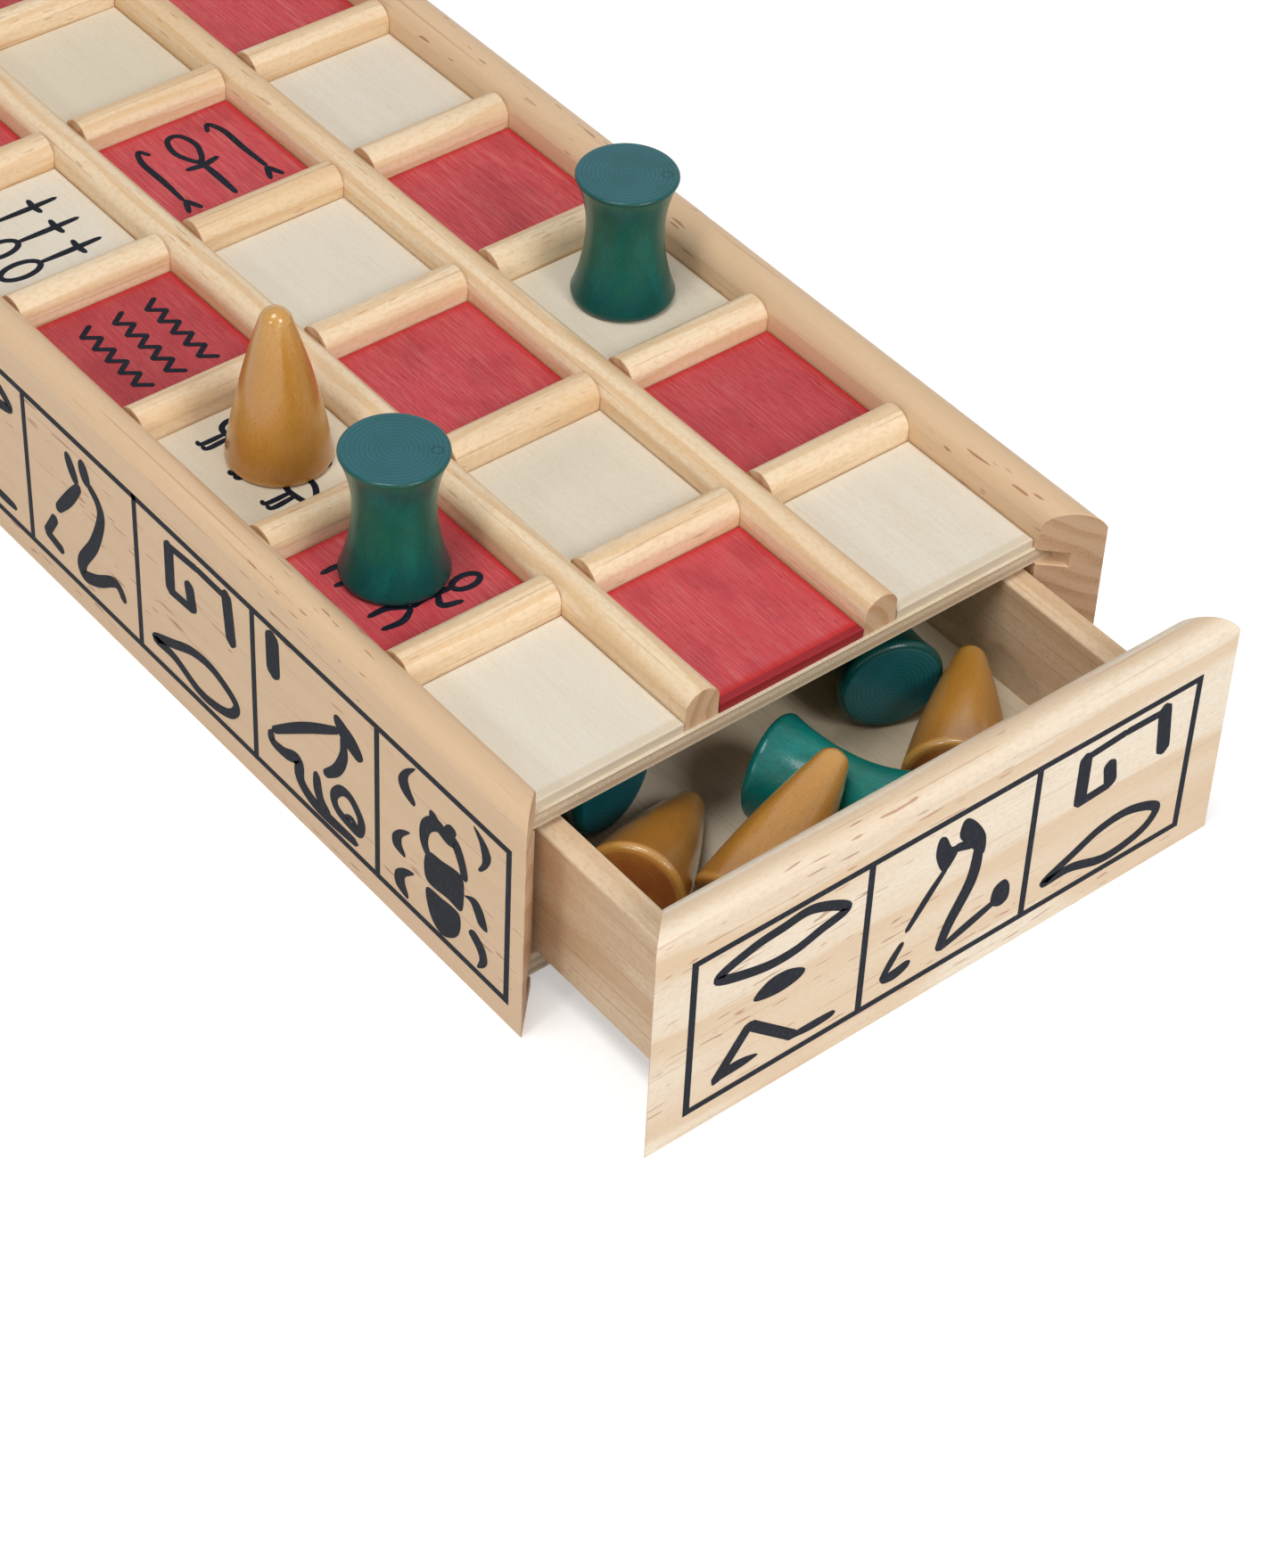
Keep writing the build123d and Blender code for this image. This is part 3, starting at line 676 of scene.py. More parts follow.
# Each sign is a list of strokes in a square from about -1 to 1: how the stroke is
# drawn (brush, loop, ruled or filled), its points, and its width against the full
# brush, which a filled one has no use for.
SIGNS = {
    "ankh": [
        ("loop", [(0, 0.12), (-0.36, 0.5), (-0.27, 0.86), (0, 0.97), (0.27, 0.86),
                  (0.36, 0.5)], 1.0),
        ("brush", [(0, 0.12), (0.02, -0.4), (0, -0.95)], 1.1),
        ("brush", [(-0.58, 0.06), (0, 0.02), (0.58, 0.08)], 1.1)],
    "eye": [
        ("brush", [(-0.95, 0.02), (-0.45, 0.42), (0.1, 0.44), (0.6, 0.16),
                   (0.95, 0.0)], 1.25),
        ("brush", [(-0.95, 0.02), (-0.4, -0.24), (0.2, -0.26), (0.7, -0.02)], 0.9),
        ("filled", circle(-0.03, 0.09, 0.19, 0.2)),
        ("brush", [(-0.85, 0.48), (-0.3, 0.8), (0.35, 0.76), (0.92, 0.46)], 1.2),
        ("brush", [(-0.16, -0.26), (-0.14, -0.6), (-0.26, -0.9)], 1.0),
        ("brush", [(0.1, -0.27), (0.34, -0.66), (0.72, -0.84), (0.9, -0.62),
                   (0.72, -0.5)], 0.9)],
    "lotus": [
        ("brush", [(-0.1, -0.96), (0.1, -0.45), (0, 0.08)], 1.0),
        ("loop", [(0, 0.08), (-0.2, 0.5), (0, 0.95), (0.2, 0.5)], 0.85),
        *[("brush", s, 0.95) for s in both([(0, 0.06), (-0.42, 0.26), (-0.66, 0.88)])],
        *[("brush", s, 0.8) for s in both([(-0.66, 0.88), (-0.36, 0.6), (-0.2, 0.3)])],
        ("brush", [(0.06, -0.5), (0.42, -0.4), (0.62, -0.06)], 1.1)],
    "water": [("ruled", zigzag(y), 0.9) for y in (0.66, 0.0, -0.66)],
    "feather": [
        ("brush", [(-0.2, -0.96), (-0.16, -0.1), (-0.02, 0.6)], 1.0),
        ("loop", [(-0.18, -0.3), (-0.4, 0.3), (-0.22, 0.84), (0.2, 0.96),
                  (0.46, 0.72), (0.3, 0.5), (0.28, 0.0), (0.05, -0.34)], 0.9)],
    "scarab": [
        ("filled", [(-0.48, 1.11), (-0.67, 0.96), (-0.79, 0.74), (-0.73, 0.58),
                  (-0.53, 0.5), (-0.48, 0.57), (-0.58, 0.72), (-0.61, 0.88)]),
        ("filled", [(-0.58, 0.01), (-0.76, -0.08), (-0.9, -0.26), (-0.88, -0.43),
                  (-0.69, -0.47), (-0.67, -0.41), (-0.73, -0.31), (-0.72, -0.18)]),
        ("filled", [(-0.5, -0.6), (-0.68, -0.65), (-0.85, -0.82), (-0.84, -1.03),
                  (-0.64, -1.11), (-0.61, -1.04), (-0.67, -0.9), (-0.66, -0.78)]),
        ("filled", [(0.57, 1.09), (0.78, 0.99), (0.88, 0.83), (0.83, 0.65),
                  (0.72, 0.49), (0.66, 0.48), (0.73, 0.66), (0.68, 0.9)]),
        ("filled", [(0.42, -0.15), (0.61, -0.04), (0.75, -0.12), (0.84, -0.35),
                  (0.8, -0.41), (0.68, -0.39), (0.61, -0.27), (0.53, -0.16)]),
        ("filled", [(0.51, -0.67), (0.61, -0.57), (0.79, -0.69), (0.85, -0.88),
                  (0.79, -1.02), (0.67, -1.11), (0.71, -0.94), (0.65, -0.81)]),
        ("brush", [(-0.24, -0.08), (-0.32, 0.12), (-0.28, 0.37), (-0.1, 0.55),
                  (0.1, 0.51), (0.25, 0.52), (0.37, 0.31), (0.43, 0.08)], 1.3),
        ("brush", [(-0.21, 0.69), (-0.1, 0.58), (0.03, 0.5)], 1.1),
        ("brush", [(0.25, 0.73), (0.15, 0.64), (0.09, 0.47)], 1.2),
        ("filled", [(-0.27, -0.03), (0.03, 0.06), (0.3, 0.12), (0.4, 0.05),
                  (0.41, -0.23), (0.36, -0.46), (0.13, -0.46), (-0.27, -0.47)]),
        ("filled", [(-0.27, -0.61), (0.03, -0.55), (0.3, -0.53), (0.36, -0.66),
                  (0.32, -0.89), (0.18, -1.06), (-0.01, -1.14), (-0.2, -0.98)])],
    "horizon": [
        ("brush", [(-0.95, -0.5), (-0.7, 0.02), (-0.42, 0.12), (0, -0.24),
                   (0.42, 0.12), (0.7, 0.02), (0.95, -0.5)], 1.1),
        ("brush", [(-0.95, -0.52), (0, -0.56), (0.95, -0.5)], 1.1),
        ("loop", circle(0, 0.36, 0.33, 0.35), 1.0)],
    "meander": [
        ("ruled", [(0.68, 1.03), (0.75, 0.32)], 1.6),
        ("ruled", [(0.73, 0.98), (0.1, 0.99), (-0.47, 0.94)], 0.85),
        ("ruled", [(-0.49, 0.95), (-0.49, 0.22)], 1.5),
        ("ruled", [(-0.49, 0.22), (-0.05, 0.25)], 1.0),
        ("ruled", [(-0.04, 0.27), (-0.09, 0.6)], 1.5),
        ("loop", [(-0.88, -0.85), (-0.47, -0.64), (-0.06, -0.46), (0.37, -0.44),
                  (0.79, -0.64), (0.71, -0.87), (0.42, -1), (0.02, -1.03),
                  (-0.48, -0.86)], 1.05)],
    "viper": [
        ("filled", [(-0.26, 0.7), (-0.24, 0.97), (-0.14, 0.95), (-0.04, 0.74),
                  (0.07, 0.71), (0.03, 0.53), (-0.12, 0.38)]),
        ("filled", [(0.06, 0.84), (0.09, 1.04), (0.18, 1.05), (0.33, 0.87), (0.46, 0.6),
                  (0.46, 0.32), (0.31, 0.46), (0.16, 0.66)]),
        ("brush", [(-0.08, 0.43), (-0.31, 0.12), (-0.59, -0.3)], 0.75),
        ("brush", [(-0.12, 0.49), (0.04, 0.66), (0.3, 0.55)], 0.9),
        ("brush", [(0.38, 0.62), (0.33, 0), (0.06, -0.58), (-0.06, -0.96)], 1.3),
        ("brush", [(-0.06, -0.95), (0.3, -0.82), (0.78, -0.65)], 0.9),
        ("filled", [(0.68, -0.67), (0.7, -0.43), (0.85, -0.37), (0.94, -0.52),
                  (0.94, -0.73), (0.82, -0.79)]),
        ("brush", [(-0.61, -0.43), (-0.75, -0.65), (-0.89, -0.9)], 0.8),
        ("brush", [(-0.89, -0.9), (-0.68, -0.91), (-0.47, -0.84)], 1.15)],
    "serpent": [
        ("brush", [(-0.26, 0.89), (-0.17, 0.69), (-0.06, 0.48)], 1.25),
        ("brush", [(0.07, 0.99), (0.11, 0.82), (0.18, 0.62)], 1.4),
        ("brush", [(0.18, 0.69), (0.38, 0.52), (0.43, 0.27), (0.24, -0.26),
                  (-0.05, -0.74), (-0.02, -0.95), (0.28, -0.83), (0.68, -0.57),
                  (0.88, -0.76)], 1.3),
        ("brush", [(0, 0.51), (-0.3, 0.08), (-0.57, -0.27)], 1.25),
        ("ruled", [(-0.63, -0.46), (-0.84, -0.83), (-0.52, -0.91)], 1.1)],
    "chick": [
        ("ruled", [(-0.8, 1.05), (-0.79, 0.49)], 2.0),
        ("brush", [(-0.86, -0.49), (-0.18, 0.09), (0.48, 0.57)], 1.0),
        ("brush", [(-0.86, -0.49), (-0.85, -0.66), (-0.6, -0.66), (-0.34, -0.57),
                  (-0.31, -0.84), (-0.13, -0.99), (0.17, -1.04), (0.82, -1.02)], 1.3),
        ("brush", [(0.02, -0.46), (0.07, -0.83), (0.28, -1)], 1.2),
        ("filled", [(0.38, 0.71), (0.45, 0.79), (0.62, 0.74), (0.79, 0.66),
                  (0.93, 0.48), (0.84, 0.36), (0.67, 0.4), (0.56, 0.44),
                  (0.44, 0.56)]),
        ("brush", [(0.55, 0.52), (0.56, 0.22), (0.42, -0.11), (0.17, -0.38)], 1.1),
        ("loop", [(0.36, -0.58), (0.5, -0.38), (0.69, -0.36), (0.88, -0.57),
                  (0.84, -0.79), (0.66, -0.81), (0.42, -0.75)], 1.1),
        ("loop", [(0.59, -0.75), (0.7, -0.68), (0.78, -0.75), (0.68, -0.79)], 0.6)],
    "lips": [
        ("loop", [(-0.86, 0.75), (-0.44, 0.94), (-0.01, 1), (0.4, 1.02), (0.87, 0.73),
                  (0.51, 0.6), (0.14, 0.5), (-0.3, 0.53)], 1.1),
        ("filled", [(-0.35, 0.05), (-0.17, 0.24), (0.1, 0.25), (0.34, 0.11),
                  (0.26, -0.01), (-0.04, -0.05)]),
        ("ruled", [(-0.81, -0.95), (-0.38, -0.32), (0.27, -0.95)], 1.15),
        ("brush", [(0.25, -0.94), (0.51, -0.96), (0.85, -0.96)], 0.9),
        ("filled", [(-0.82, -0.96), (-0.64, -0.82), (-0.43, -0.82), (-0.23, -0.9),
                  (-0.35, -0.95), (-0.56, -0.97)])],
    "ibis": [
        ("loop", [(-0.5, -0.02), (-0.1, 0.2), (0.4, 0.12), (0.9, -0.16), (0.3, -0.3),
                  (-0.3, -0.3)], 1.0),
        ("brush", [(-0.42, 0.08), (-0.62, 0.4), (-0.44, 0.7), (-0.56, 0.9)], 1.2),
        ("brush", [(-0.56, 0.9), (-0.82, 0.72), (-0.92, 0.44)], 0.8),
        ("brush", [(-0.02, -0.3), (-0.02, -0.9), (-0.26, -0.94)], 0.85),
        ("brush", [(0.22, -0.3), (0.28, -0.88), (0.04, -0.94)], 0.85)],
    "pillar": [
        *[("brush", s, 0.95) for s in both([(-0.26, -0.92), (-0.16, -0.3),
                                            (-0.18, 0.22)])],
        *[("brush", [(-0.5, y), (0, y + 0.02), (0.5, y)], 1.0)
          for y in (0.26, 0.48, 0.7, 0.92)],
        ("brush", [(-0.5, -0.94), (0, -0.95), (0.5, -0.93)], 1.0)],
    "lute": [
        ("loop", circle(0, -0.58, 0.34, 0.36), 1.0),
        ("brush", [(0, -0.22), (0.01, 0.3), (0, 0.95)], 1.0),
        ("brush", [(-0.40, 0.52), (0, 0.50), (0.40, 0.53)], 1.0)],
    "sceptre": [
        ("brush", [(0.06, -0.62), (0, 0.0), (0, 0.62), (-0.3, 0.92), (-0.62, 0.74)],
         1.0),
        *[("brush", s, 0.9) for s in both([(0.03, -0.6), (-0.34, -0.95)])]],
    "figure": [
        ("loop", circle(0.05, 0.68, 0.22, 0.24), 1.0),
        ("brush", [(0.02, 0.42), (-0.06, 0.0), (0.04, -0.3)], 1.2),
        ("brush", [(-0.02, 0.2), (0.4, 0.08), (0.58, 0.4)], 1.0),
        ("brush", [(0.04, -0.3), (-0.28, -0.6), (-0.3, -0.95)], 1.0),
        ("brush", [(0.04, -0.3), (0.3, -0.58), (0.26, -0.95)], 1.0)],
}
SIDE_ORDER = ["scarab", "chick", "meander", "serpent", "lips", "eye", "lotus",
              "water", "feather", "horizon", "pillar"]
DRAWER_ORDER = ["lips", "viper", "meander"]
END_ORDER = ["lotus", "ankh", "horizon"]


def smooth_line(points, closed):
    """Catmull-Rom curve through the points, twelve steps to a span: for four points in
    a row, half of (2b + (c-a)t + (2a-5b+4c-d)t^2 + (3b-a-3c+d)t^3)."""
    points = np.array(points, float)
    if closed:
        ring = np.concatenate([points[-1:], points, points[:2]])
    else:
        first = 2 * points[:1] - points[1:2]
        last = 2 * points[-1:] - points[-2:-1]
        ring = np.concatenate([first, points, last])
    a, b, c, d = ring[:-3, None], ring[1:-2, None], ring[2:-1, None], ring[3:, None]
    t = np.linspace(0, 1, 12, endpoint=False)[None, :, None]
    curve = 0.5 * (2 * b + (c - a) * t + (2 * a - 5 * b + 4 * c - d) * t ** 2
                   + (3 * b - a - 3 * c + d) * t ** 3)
    curve = curve.reshape(-1, 2)
    return curve if closed else np.concatenate([curve, points[-1:]])


def ribbon(line, width, closed, swell=0.25):
    """Flat stroke about a line: its edges lie half the width to each side.  An open
    stroke swells towards its middle and its ends are round: within half a width w of
    an end the width is scaled by sqrt(1 - (1 - 2 d / w)^2) at distance d."""
    if closed:
        tangent = np.roll(line, -1, 0) - np.roll(line, 1, 0)
        widths = np.full(len(line), width)
    else:
        tangent = np.gradient(line, axis=0)
        walked = np.r_[0, np.cumsum(np.linalg.norm(np.diff(line, axis=0), axis=1))]
        part = walked / walked[-1]
        widths = width * (1 - swell + 1.6 * swell * np.sin(pi * part))
        near = np.minimum(walked, walked[-1] - walked) / (width / 2)
        widths = widths * np.sqrt(1 - (1 - np.clip(near, 0.02, 1)) ** 2)
    tangent /= np.linalg.norm(tangent, axis=1)[:, None] + 1e-12
    side = np.stack([-tangent[:, 1], tangent[:, 0]], 1) * widths[:, None] / 2
    return line + side, line - side


def film_of(outlines, closed):
    """Thin closed film over a ribbon: four rows of points, two at its foot and two on
    its face, joined round, as flat coordinates plus a height of 0 or 1."""
    left, right = outlines
    rows = [np.insert(edge, 2, height, 1) for edge, height in
            ((left, 0), (left, 1), (right, 1), (right, 0))]
    count = len(left)
    points = np.stack(rows, 1).reshape(-1, 3)
    faces = grid_faces(count, 4, wrap_rows=closed, wrap_columns=True).tolist()
    if not closed:
        faces.append([0, 1, 2, 3])
        faces.append([4 * count - 1, 4 * count - 2, 4 * count - 3, 4 * count - 4])
    return points, faces


def blob(points):
    """Closed film over a filled outline: one face on top, one at the foot."""
    outline = smooth_line(points, True)
    return carried(*(np.insert(outline, 2, height, 1) for height in (0, 1)))


def ruled(points, width, square=True):
    """Straight strokes from point to point, with square ends that fill the corners or
    the brush's round ones."""
    points = np.array(points, float)
    parts = []
    for start, end in zip(points[:-1], points[1:]):
        run = end - start
        if square:
            reach = run / np.linalg.norm(run) * width / 2
            line = np.stack([start - reach, end + reach])
            side = np.array([-run[1], run[0]]) / np.linalg.norm(run) * width / 2
            parts.append(film_of((line + side, line - side), False))
        else:
            reach = run / np.linalg.norm(run) * width / 3
            line = np.linspace(0, 1, 14)[:, None] * (run + 2 * reach) + start - reach
            parts.append(film_of(ribbon(line, width, False, 0.0), False))
    return parts


def drawn_sign(name, centre, size, brush):
    """The films of one sign, about its centre, in the flat coordinates of its board."""
    parts = []
    for way, points, *weight in SIGNS[name]:
        points = np.array(points, float) * size + centre
        if way == "filled":
            parts.append(blob(points))
            continue
        width = brush * weight[0]
        if way == "ruled":
            parts += ruled(points, width, square=False)
        else:
            closed = way == "loop"
            line = smooth_line(points, closed)
            parts.append(film_of(ribbon(line, width, closed), closed))
    return parts


def laid(parts, origin, right, up, film):
    """Films laid on a plane: origin + x right + y up + height out, where out is right
    crossed with up.  Each film stands a hair higher than the last, so that crossing
    strokes never share a plane."""
    origin, right, up = (np.array(v, float) for v in (origin, right, up))
    out = np.cross(right, up)
    shapes = []
    for number, (points, faces) in enumerate(parts):
        height = points[:, 2] * (film + number % 9 * 0.003 * MM) - (
            1 - points[:, 2]) * film
        placed = (origin + points[:, :1] * right + points[:, 1:2] * up
                  + height[:, None] * out)
        shapes.append((placed, faces))
    return joined(shapes)


def ruled_frame(ink, half, cells, order):
    """Ruled border with upright dividers, and one sign in each cell, in a board's flat
    coordinates: x from its middle and y above the table."""
    low, high, width = ink.low, ink.high, ink.line
    parts = ruled([(-half, low), (half, low), (half, high), (-half, high),
                   (-half, low)], width)
    edges = np.linspace(-half, half, cells + 1)
    for x in edges[1:-1]:
        parts += ruled([(x, low), (x, high)], width)
    middle = (low + high) / 2
    room = np.array([(edges[1] - edges[0]) / 2, (high - low) / 2])
    room -= SIGN_ROOM * width
    for number, x in enumerate((edges[:-1] + edges[1:]) / 2):
        name = order[number % len(order)]
        parts += drawn_sign(name, (x, middle), room, ink.brush)
    return parts


# ---------------------------------------------------------------- turned pawns
def rounded_foot(foot, rim, steps):
    """Radius and height of a flat foot from the axis out, and of its rounded edge."""
    turn = np.linspace(0, pi / 2, steps)
    base = np.stack([np.linspace(0, foot - rim, 12)[:-1], np.zeros(11)], 1)
    edge = np.stack([foot - rim + rim * np.sin(turn), rim - rim * np.cos(turn)], 1)
    return np.concatenate([base, edge])


def cone_profile(pawns):
    """Radius and height of a cone pawn: a rounded foot, a side that bows out by
    4 belly t (1 - t), and a round tip that the side runs into."""
    foot, rim, tip = pawns.cone_foot, pawns.cone_round, pawns.tip
    centre = pawns.cone_height - tip
    slope = np.arcsin((foot - tip) / (centre - rim))
    outward = np.array([cos(slope), sin(slope)])
    base = rounded_foot(foot, rim, 7)
    end = np.array([0, centre]) + tip * outward
    t = np.linspace(0, 1, 40)[1:-1, None]
    side = base[-1] + t * (end - base[-1]) + 4 * pawns.belly * t * (1 - t) * outward
    turn = np.linspace(slope, pi / 2, 16)
    cap = np.stack([tip * np.cos(turn), centre + tip * np.sin(turn)], 1)
    return np.concatenate([base, side, cap])


def spool_profile(pawns):
    """Radius and height of a spool pawn: waist + R - sqrt(R^2 - h^2), where h is the
    distance from the waist and R = (flare^2 + reach^2) / (2 flare), up and down, with
    a rounded foot and a crisper top."""
    foot, top, height = pawns.spool_foot, pawns.spool_top, pawns.spool_height
    rim, lip = pawns.foot_round, pawns.top_round
    waist, level = pawns.waist, pawns.waist_height

    def flare(edge, reach, heights):
        radius = ((edge - waist) ** 2 + reach ** 2) / (2 * (edge - waist))
        return waist + radius - np.sqrt(radius ** 2 - (heights - level) ** 2)

    lower = np.linspace(rim, level, 26)[1:]
    upper = np.linspace(level, height - lip, 24)[1:]
    side = np.concatenate([
        np.stack([flare(foot, level - rim, lower), lower], 1),
        np.stack([flare(top, height - lip - level, upper), upper], 1)])
    turn = np.linspace(0, pi / 2, 6)[1:]
    crown = np.stack([top - lip + lip * np.cos(turn),
                      height - lip + lip * np.sin(turn)], 1)
    flat = np.stack([np.linspace(top - lip, 0, 14)[1:], np.full(13, height)], 1)
    return np.concatenate([rounded_foot(foot, rim, 8), side, crown, flat])


def turned(profile, around):
    """Surface of revolution: P(i, a) = (r_i cos a, r_i sin a, h_i).  The first and the
    last point lie on the axis, and each closes its end with a fan."""
    turn = np.linspace(0, 2 * pi, around, endpoint=False)
    rings = profile[1:-1]
    points = np.stack([np.outer(rings[:, 0], np.cos(turn)),
                       np.outer(rings[:, 0], np.sin(turn)),
                       np.repeat(rings[:, 1:], around, 1)], -1).reshape(-1, 3)
    faces = grid_faces(len(rings), around, wrap_columns=True).tolist()
    poles = np.array([(0, 0, profile[0, 1]), (0, 0, profile[-1, 1])])
    step_on = (np.arange(around) + 1) % around
    last = (len(rings) - 1) * around
    bottom, top = len(points), len(points) + 1
    foot_fan = np.stack([np.full(around, bottom), step_on, np.arange(around)], 1)
    top_fan = np.stack([np.full(around, top), last + np.arange(around),
                        last + step_on], 1)
    return np.concatenate([points, poles]), faces + foot_fan.tolist() + top_fan.tolist()


# Heading and rise of each pawn's top, in degrees, and how pale it is painted, from 0 to
# 1.  This is its own stain, and for spool_3 it is also painted light, because its upper
# side lies lit in the drawer.  A standing pawn points straight up.
PAWN_POSES = {
    "spool_1": (0.0, 90.0, 0.25), "cone_1": (0.0, 90.0, 0.45),
    "spool_2": (0.0, 90.0, 0.3), "cone_2": (31.0, -12.5, 0.15),
    "cone_3": (19.5, 23.0, 0.5), "cone_4": (43.5, 1.7, 0.55),
    "cone_5": (160.0, -12.5, 0.4), "spool_3": (-69.0, 0.0, 1.0),
    "spool_4": (68.6, 0.0, 0.0), "spool_5": (102.0, 0.0, 0.35),
}
ON_BOARD = ("spool_1", "cone_1", "spool_2")


def place_like(points, node, heading, rise):
    """Points turned to the pawn's heading and rise, then moved so that their box has
    the middle of the solid's box."""
    tilt = Matrix.Rotation(radians(90 - rise), 3, "Y")
    turn = Matrix.Rotation(radians(heading), 3, "Z")
    placed = points @ np.array(turn @ tilt).T
    low, high = box_of(node)
    return placed + (low + high) / 2 - (placed.min(0) + placed.max(0)) / 2


# ---------------------------------------------------------------- operators
class SENET_OT_mouldings(bpy.types.Operator):
    """Makes the mitred case boards and the drawer's front"""
    bl_idname = "senet.mouldings"
    bl_label = "Mouldings"

    def execute(self, context):
        wood = context.scene.senet_wood
        pine = dict(late=wood.pine_late, end=wood.pine_end, fleck=wood.pine_fleck)
        finishes = {
            "side_board_left": sawn_pine(
                "pine_left_board", "Y", wood.pine_pink, pith=(-96, -8), ring=5.2,
                seed=3.0, contrast=0.3, **pine),
            "side_board_right": sawn_pine(
                "pine_right_board", "Y", wood.pine_pink, pith=(20, -60), ring=4.4,
                seed=23.0, contrast=0.4, **pine),
            "end_board": sawn_pine(
                "pine_end_board", "X", wood.pine, pith=(150, -30), ring=5.0,
                seed=41.0, **pine),
            "drawer_front": sawn_pine(
                "pine_drawer_front", "X", wood.pine, pith=(-262, 12), ring=6.5,
                seed=61.0, flecks=0.6, contrast=0.6, **pine),
        }
        panels = [(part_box(n)[0].z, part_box(n)[1].z)
                  for n in ("top_panel", "bottom_panel")]
        for node, finish in finishes.items():
            low, high = box_of(node)
            size, middle = high - low, (low + high) / 2
            lengthwise = 0 if size[0] > size[1] else 1
            thick = 1 - lengthwise
            grooves = [] if node == "drawer_front" else panels
            section = moulding_section(wood, size[thick], size[2], grooves)
            outer_low = node in ("side_board_left", "drawer_front")
            inward = 1 if outer_low else -1
            outer = low[thick] if outer_low else high[thick]
            ends = []
            for side in (-1, 1):
                points = np.zeros((len(section), 3))
                points[:, thick] = outer + inward * section[:, 0]
                points[:, lengthwise] = middle[lengthwise] + side * (
                    size[lengthwise] / 2 - section[:, 0])
                points[:, 2] = section[:, 1]
                ends.append(points)
            body = "drawer" if node == "drawer_front" else "case"
            make_piece(node + "_moulding", carried(*ends), body,
                       finish, (node,), arris=wood.arris)
        return {"FINISHED"}


class SENET_OT_rails(bpy.types.Operator):
    """Makes the half-round rails between the squares"""
    bl_idname = "senet.rails"
    bl_label = "Rails"

    def execute(self, context):
        wood = context.scene.senet_wood
        squares = context.scene.senet_squares
        rail = dict(light=wood.rail, late=wood.rail_late, end=wood.pine_end,
                    fleck=wood.pine_fleck, flecks=0.38, rough=0.36)
        along = sawn_pine("pine_long_rails", "Y", pith=(9, 33), ring=3.4, seed=5.0,
                          contrast=0.5, **rail)
        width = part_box("long_rail_1")[1].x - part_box("long_rail_1")[0].x
        for number in (1, 2):
            node = f"long_rail_{number}"
            low, high = box_of(node)
            section = rail_section(wood, width, high[2] - low[2])
            ends = [np.stack([(low[0] + high[0]) / 2 + section[:, 0],
                              np.full(len(section), y),
                              low[2] + section[:, 1]], 1) for y in (low[1], high[1])]
            make_piece(node + "_rounded", carried(*ends), "case",
                       along, (node,), arris=wood.arris)
        seats = np.random.default_rng(7)
        for column in (1, 2, 3):
            node = f"cross_rails_{column}"
            low, high = box_of(node)
            section = rail_section(wood, width, high[2] - low[2])
            first = (low[0], low[1] + width / 2 - squares.pitch / 2)
            across = sawn_pine(f"pine_cross_rails_{column}", "X", pith=(6, 30),
                               ring=3.0, seed=9.0 + column, contrast=0.42,
                               shift=rail_by_rail(squares.pitch, first), **rail)
            count = round((high[1] - low[1] - width) / squares.pitch) + 1
            parts = []
            for index in range(count):
                middle = low[1] + width / 2 + index * squares.pitch
                turn = seats.normal(0, SEAT_SKEW, 2) * (high[0] - low[0]) / 2
                ends = [np.stack([np.full(len(section), x),
                                  middle + offset + section[:, 0],
                                  low[2] + section[:, 1]], 1)
                        for x, offset in zip((low[0], high[0]), turn)]
                parts.append(carried(*ends))
            make_piece(node + "_rounded", joined(parts), "case", across,
                       (node,), arris=wood.arris)
        return {"FINISHED"}


class SENET_OT_flat_wood(bpy.types.Operator):
    """Finishes the plywood panels, the drawer's sides and back, and the squares"""
    bl_idname = "senet.flat_wood"
    bl_label = "Flat wood"

    def execute(self, context):
        wood = context.scene.senet_wood
        squares = context.scene.senet_squares
        tray = dict(light=wood.tray, late=wood.tray_late, end=wood.pine_end,
                    fleck=wood.pine_fleck, flecks=0.2, rough=0.55, contrast=0.32)
        under = {node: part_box(node)[0].z / MM
                 for node in ("top_panel", "bottom_panel", "drawer_bottom")}
        first_y = (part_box("square_1_02")[0].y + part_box("square_1_02")[1].y) / 2
        plain = square_veneer("birch_square", squares, False, first_y)
        red = square_veneer("red_stained_square", squares, True, first_y)
        finishes = {
            "top_panel": plywood("birch_ply_panel", wood, 2.0, 1.0, under["top_panel"]),
            "bottom_panel": plywood("birch_ply_floor", wood, 12.0, 1.0,
                                    under["bottom_panel"]),
            "drawer_bottom": plywood("birch_ply_tray", wood, 22.0, 1.25,
                                     under["drawer_bottom"]),
            "drawer_side_left": sawn_pine("pine_tray_left", "Y", pith=(-140, 20),
                                          ring=3.6, seed=31.0, **tray),
            "drawer_side_right": sawn_pine("pine_tray_right", "Y", pith=(110, 60),
                                           ring=3.8, seed=37.0, **tray),
            "drawer_back": sawn_pine("pine_tray_back", "X", pith=(60, 70), ring=3.4,
                                     seed=39.0, **tray),
        }
        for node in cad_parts:
            if node.startswith("square_"):
                finishes[node] = red if is_red(node) else plain
        for node, finish in finishes.items():
            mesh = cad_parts[node].data
            mesh.materials.clear()
            mesh.materials.append(finish)
        return {"FINISHED"}


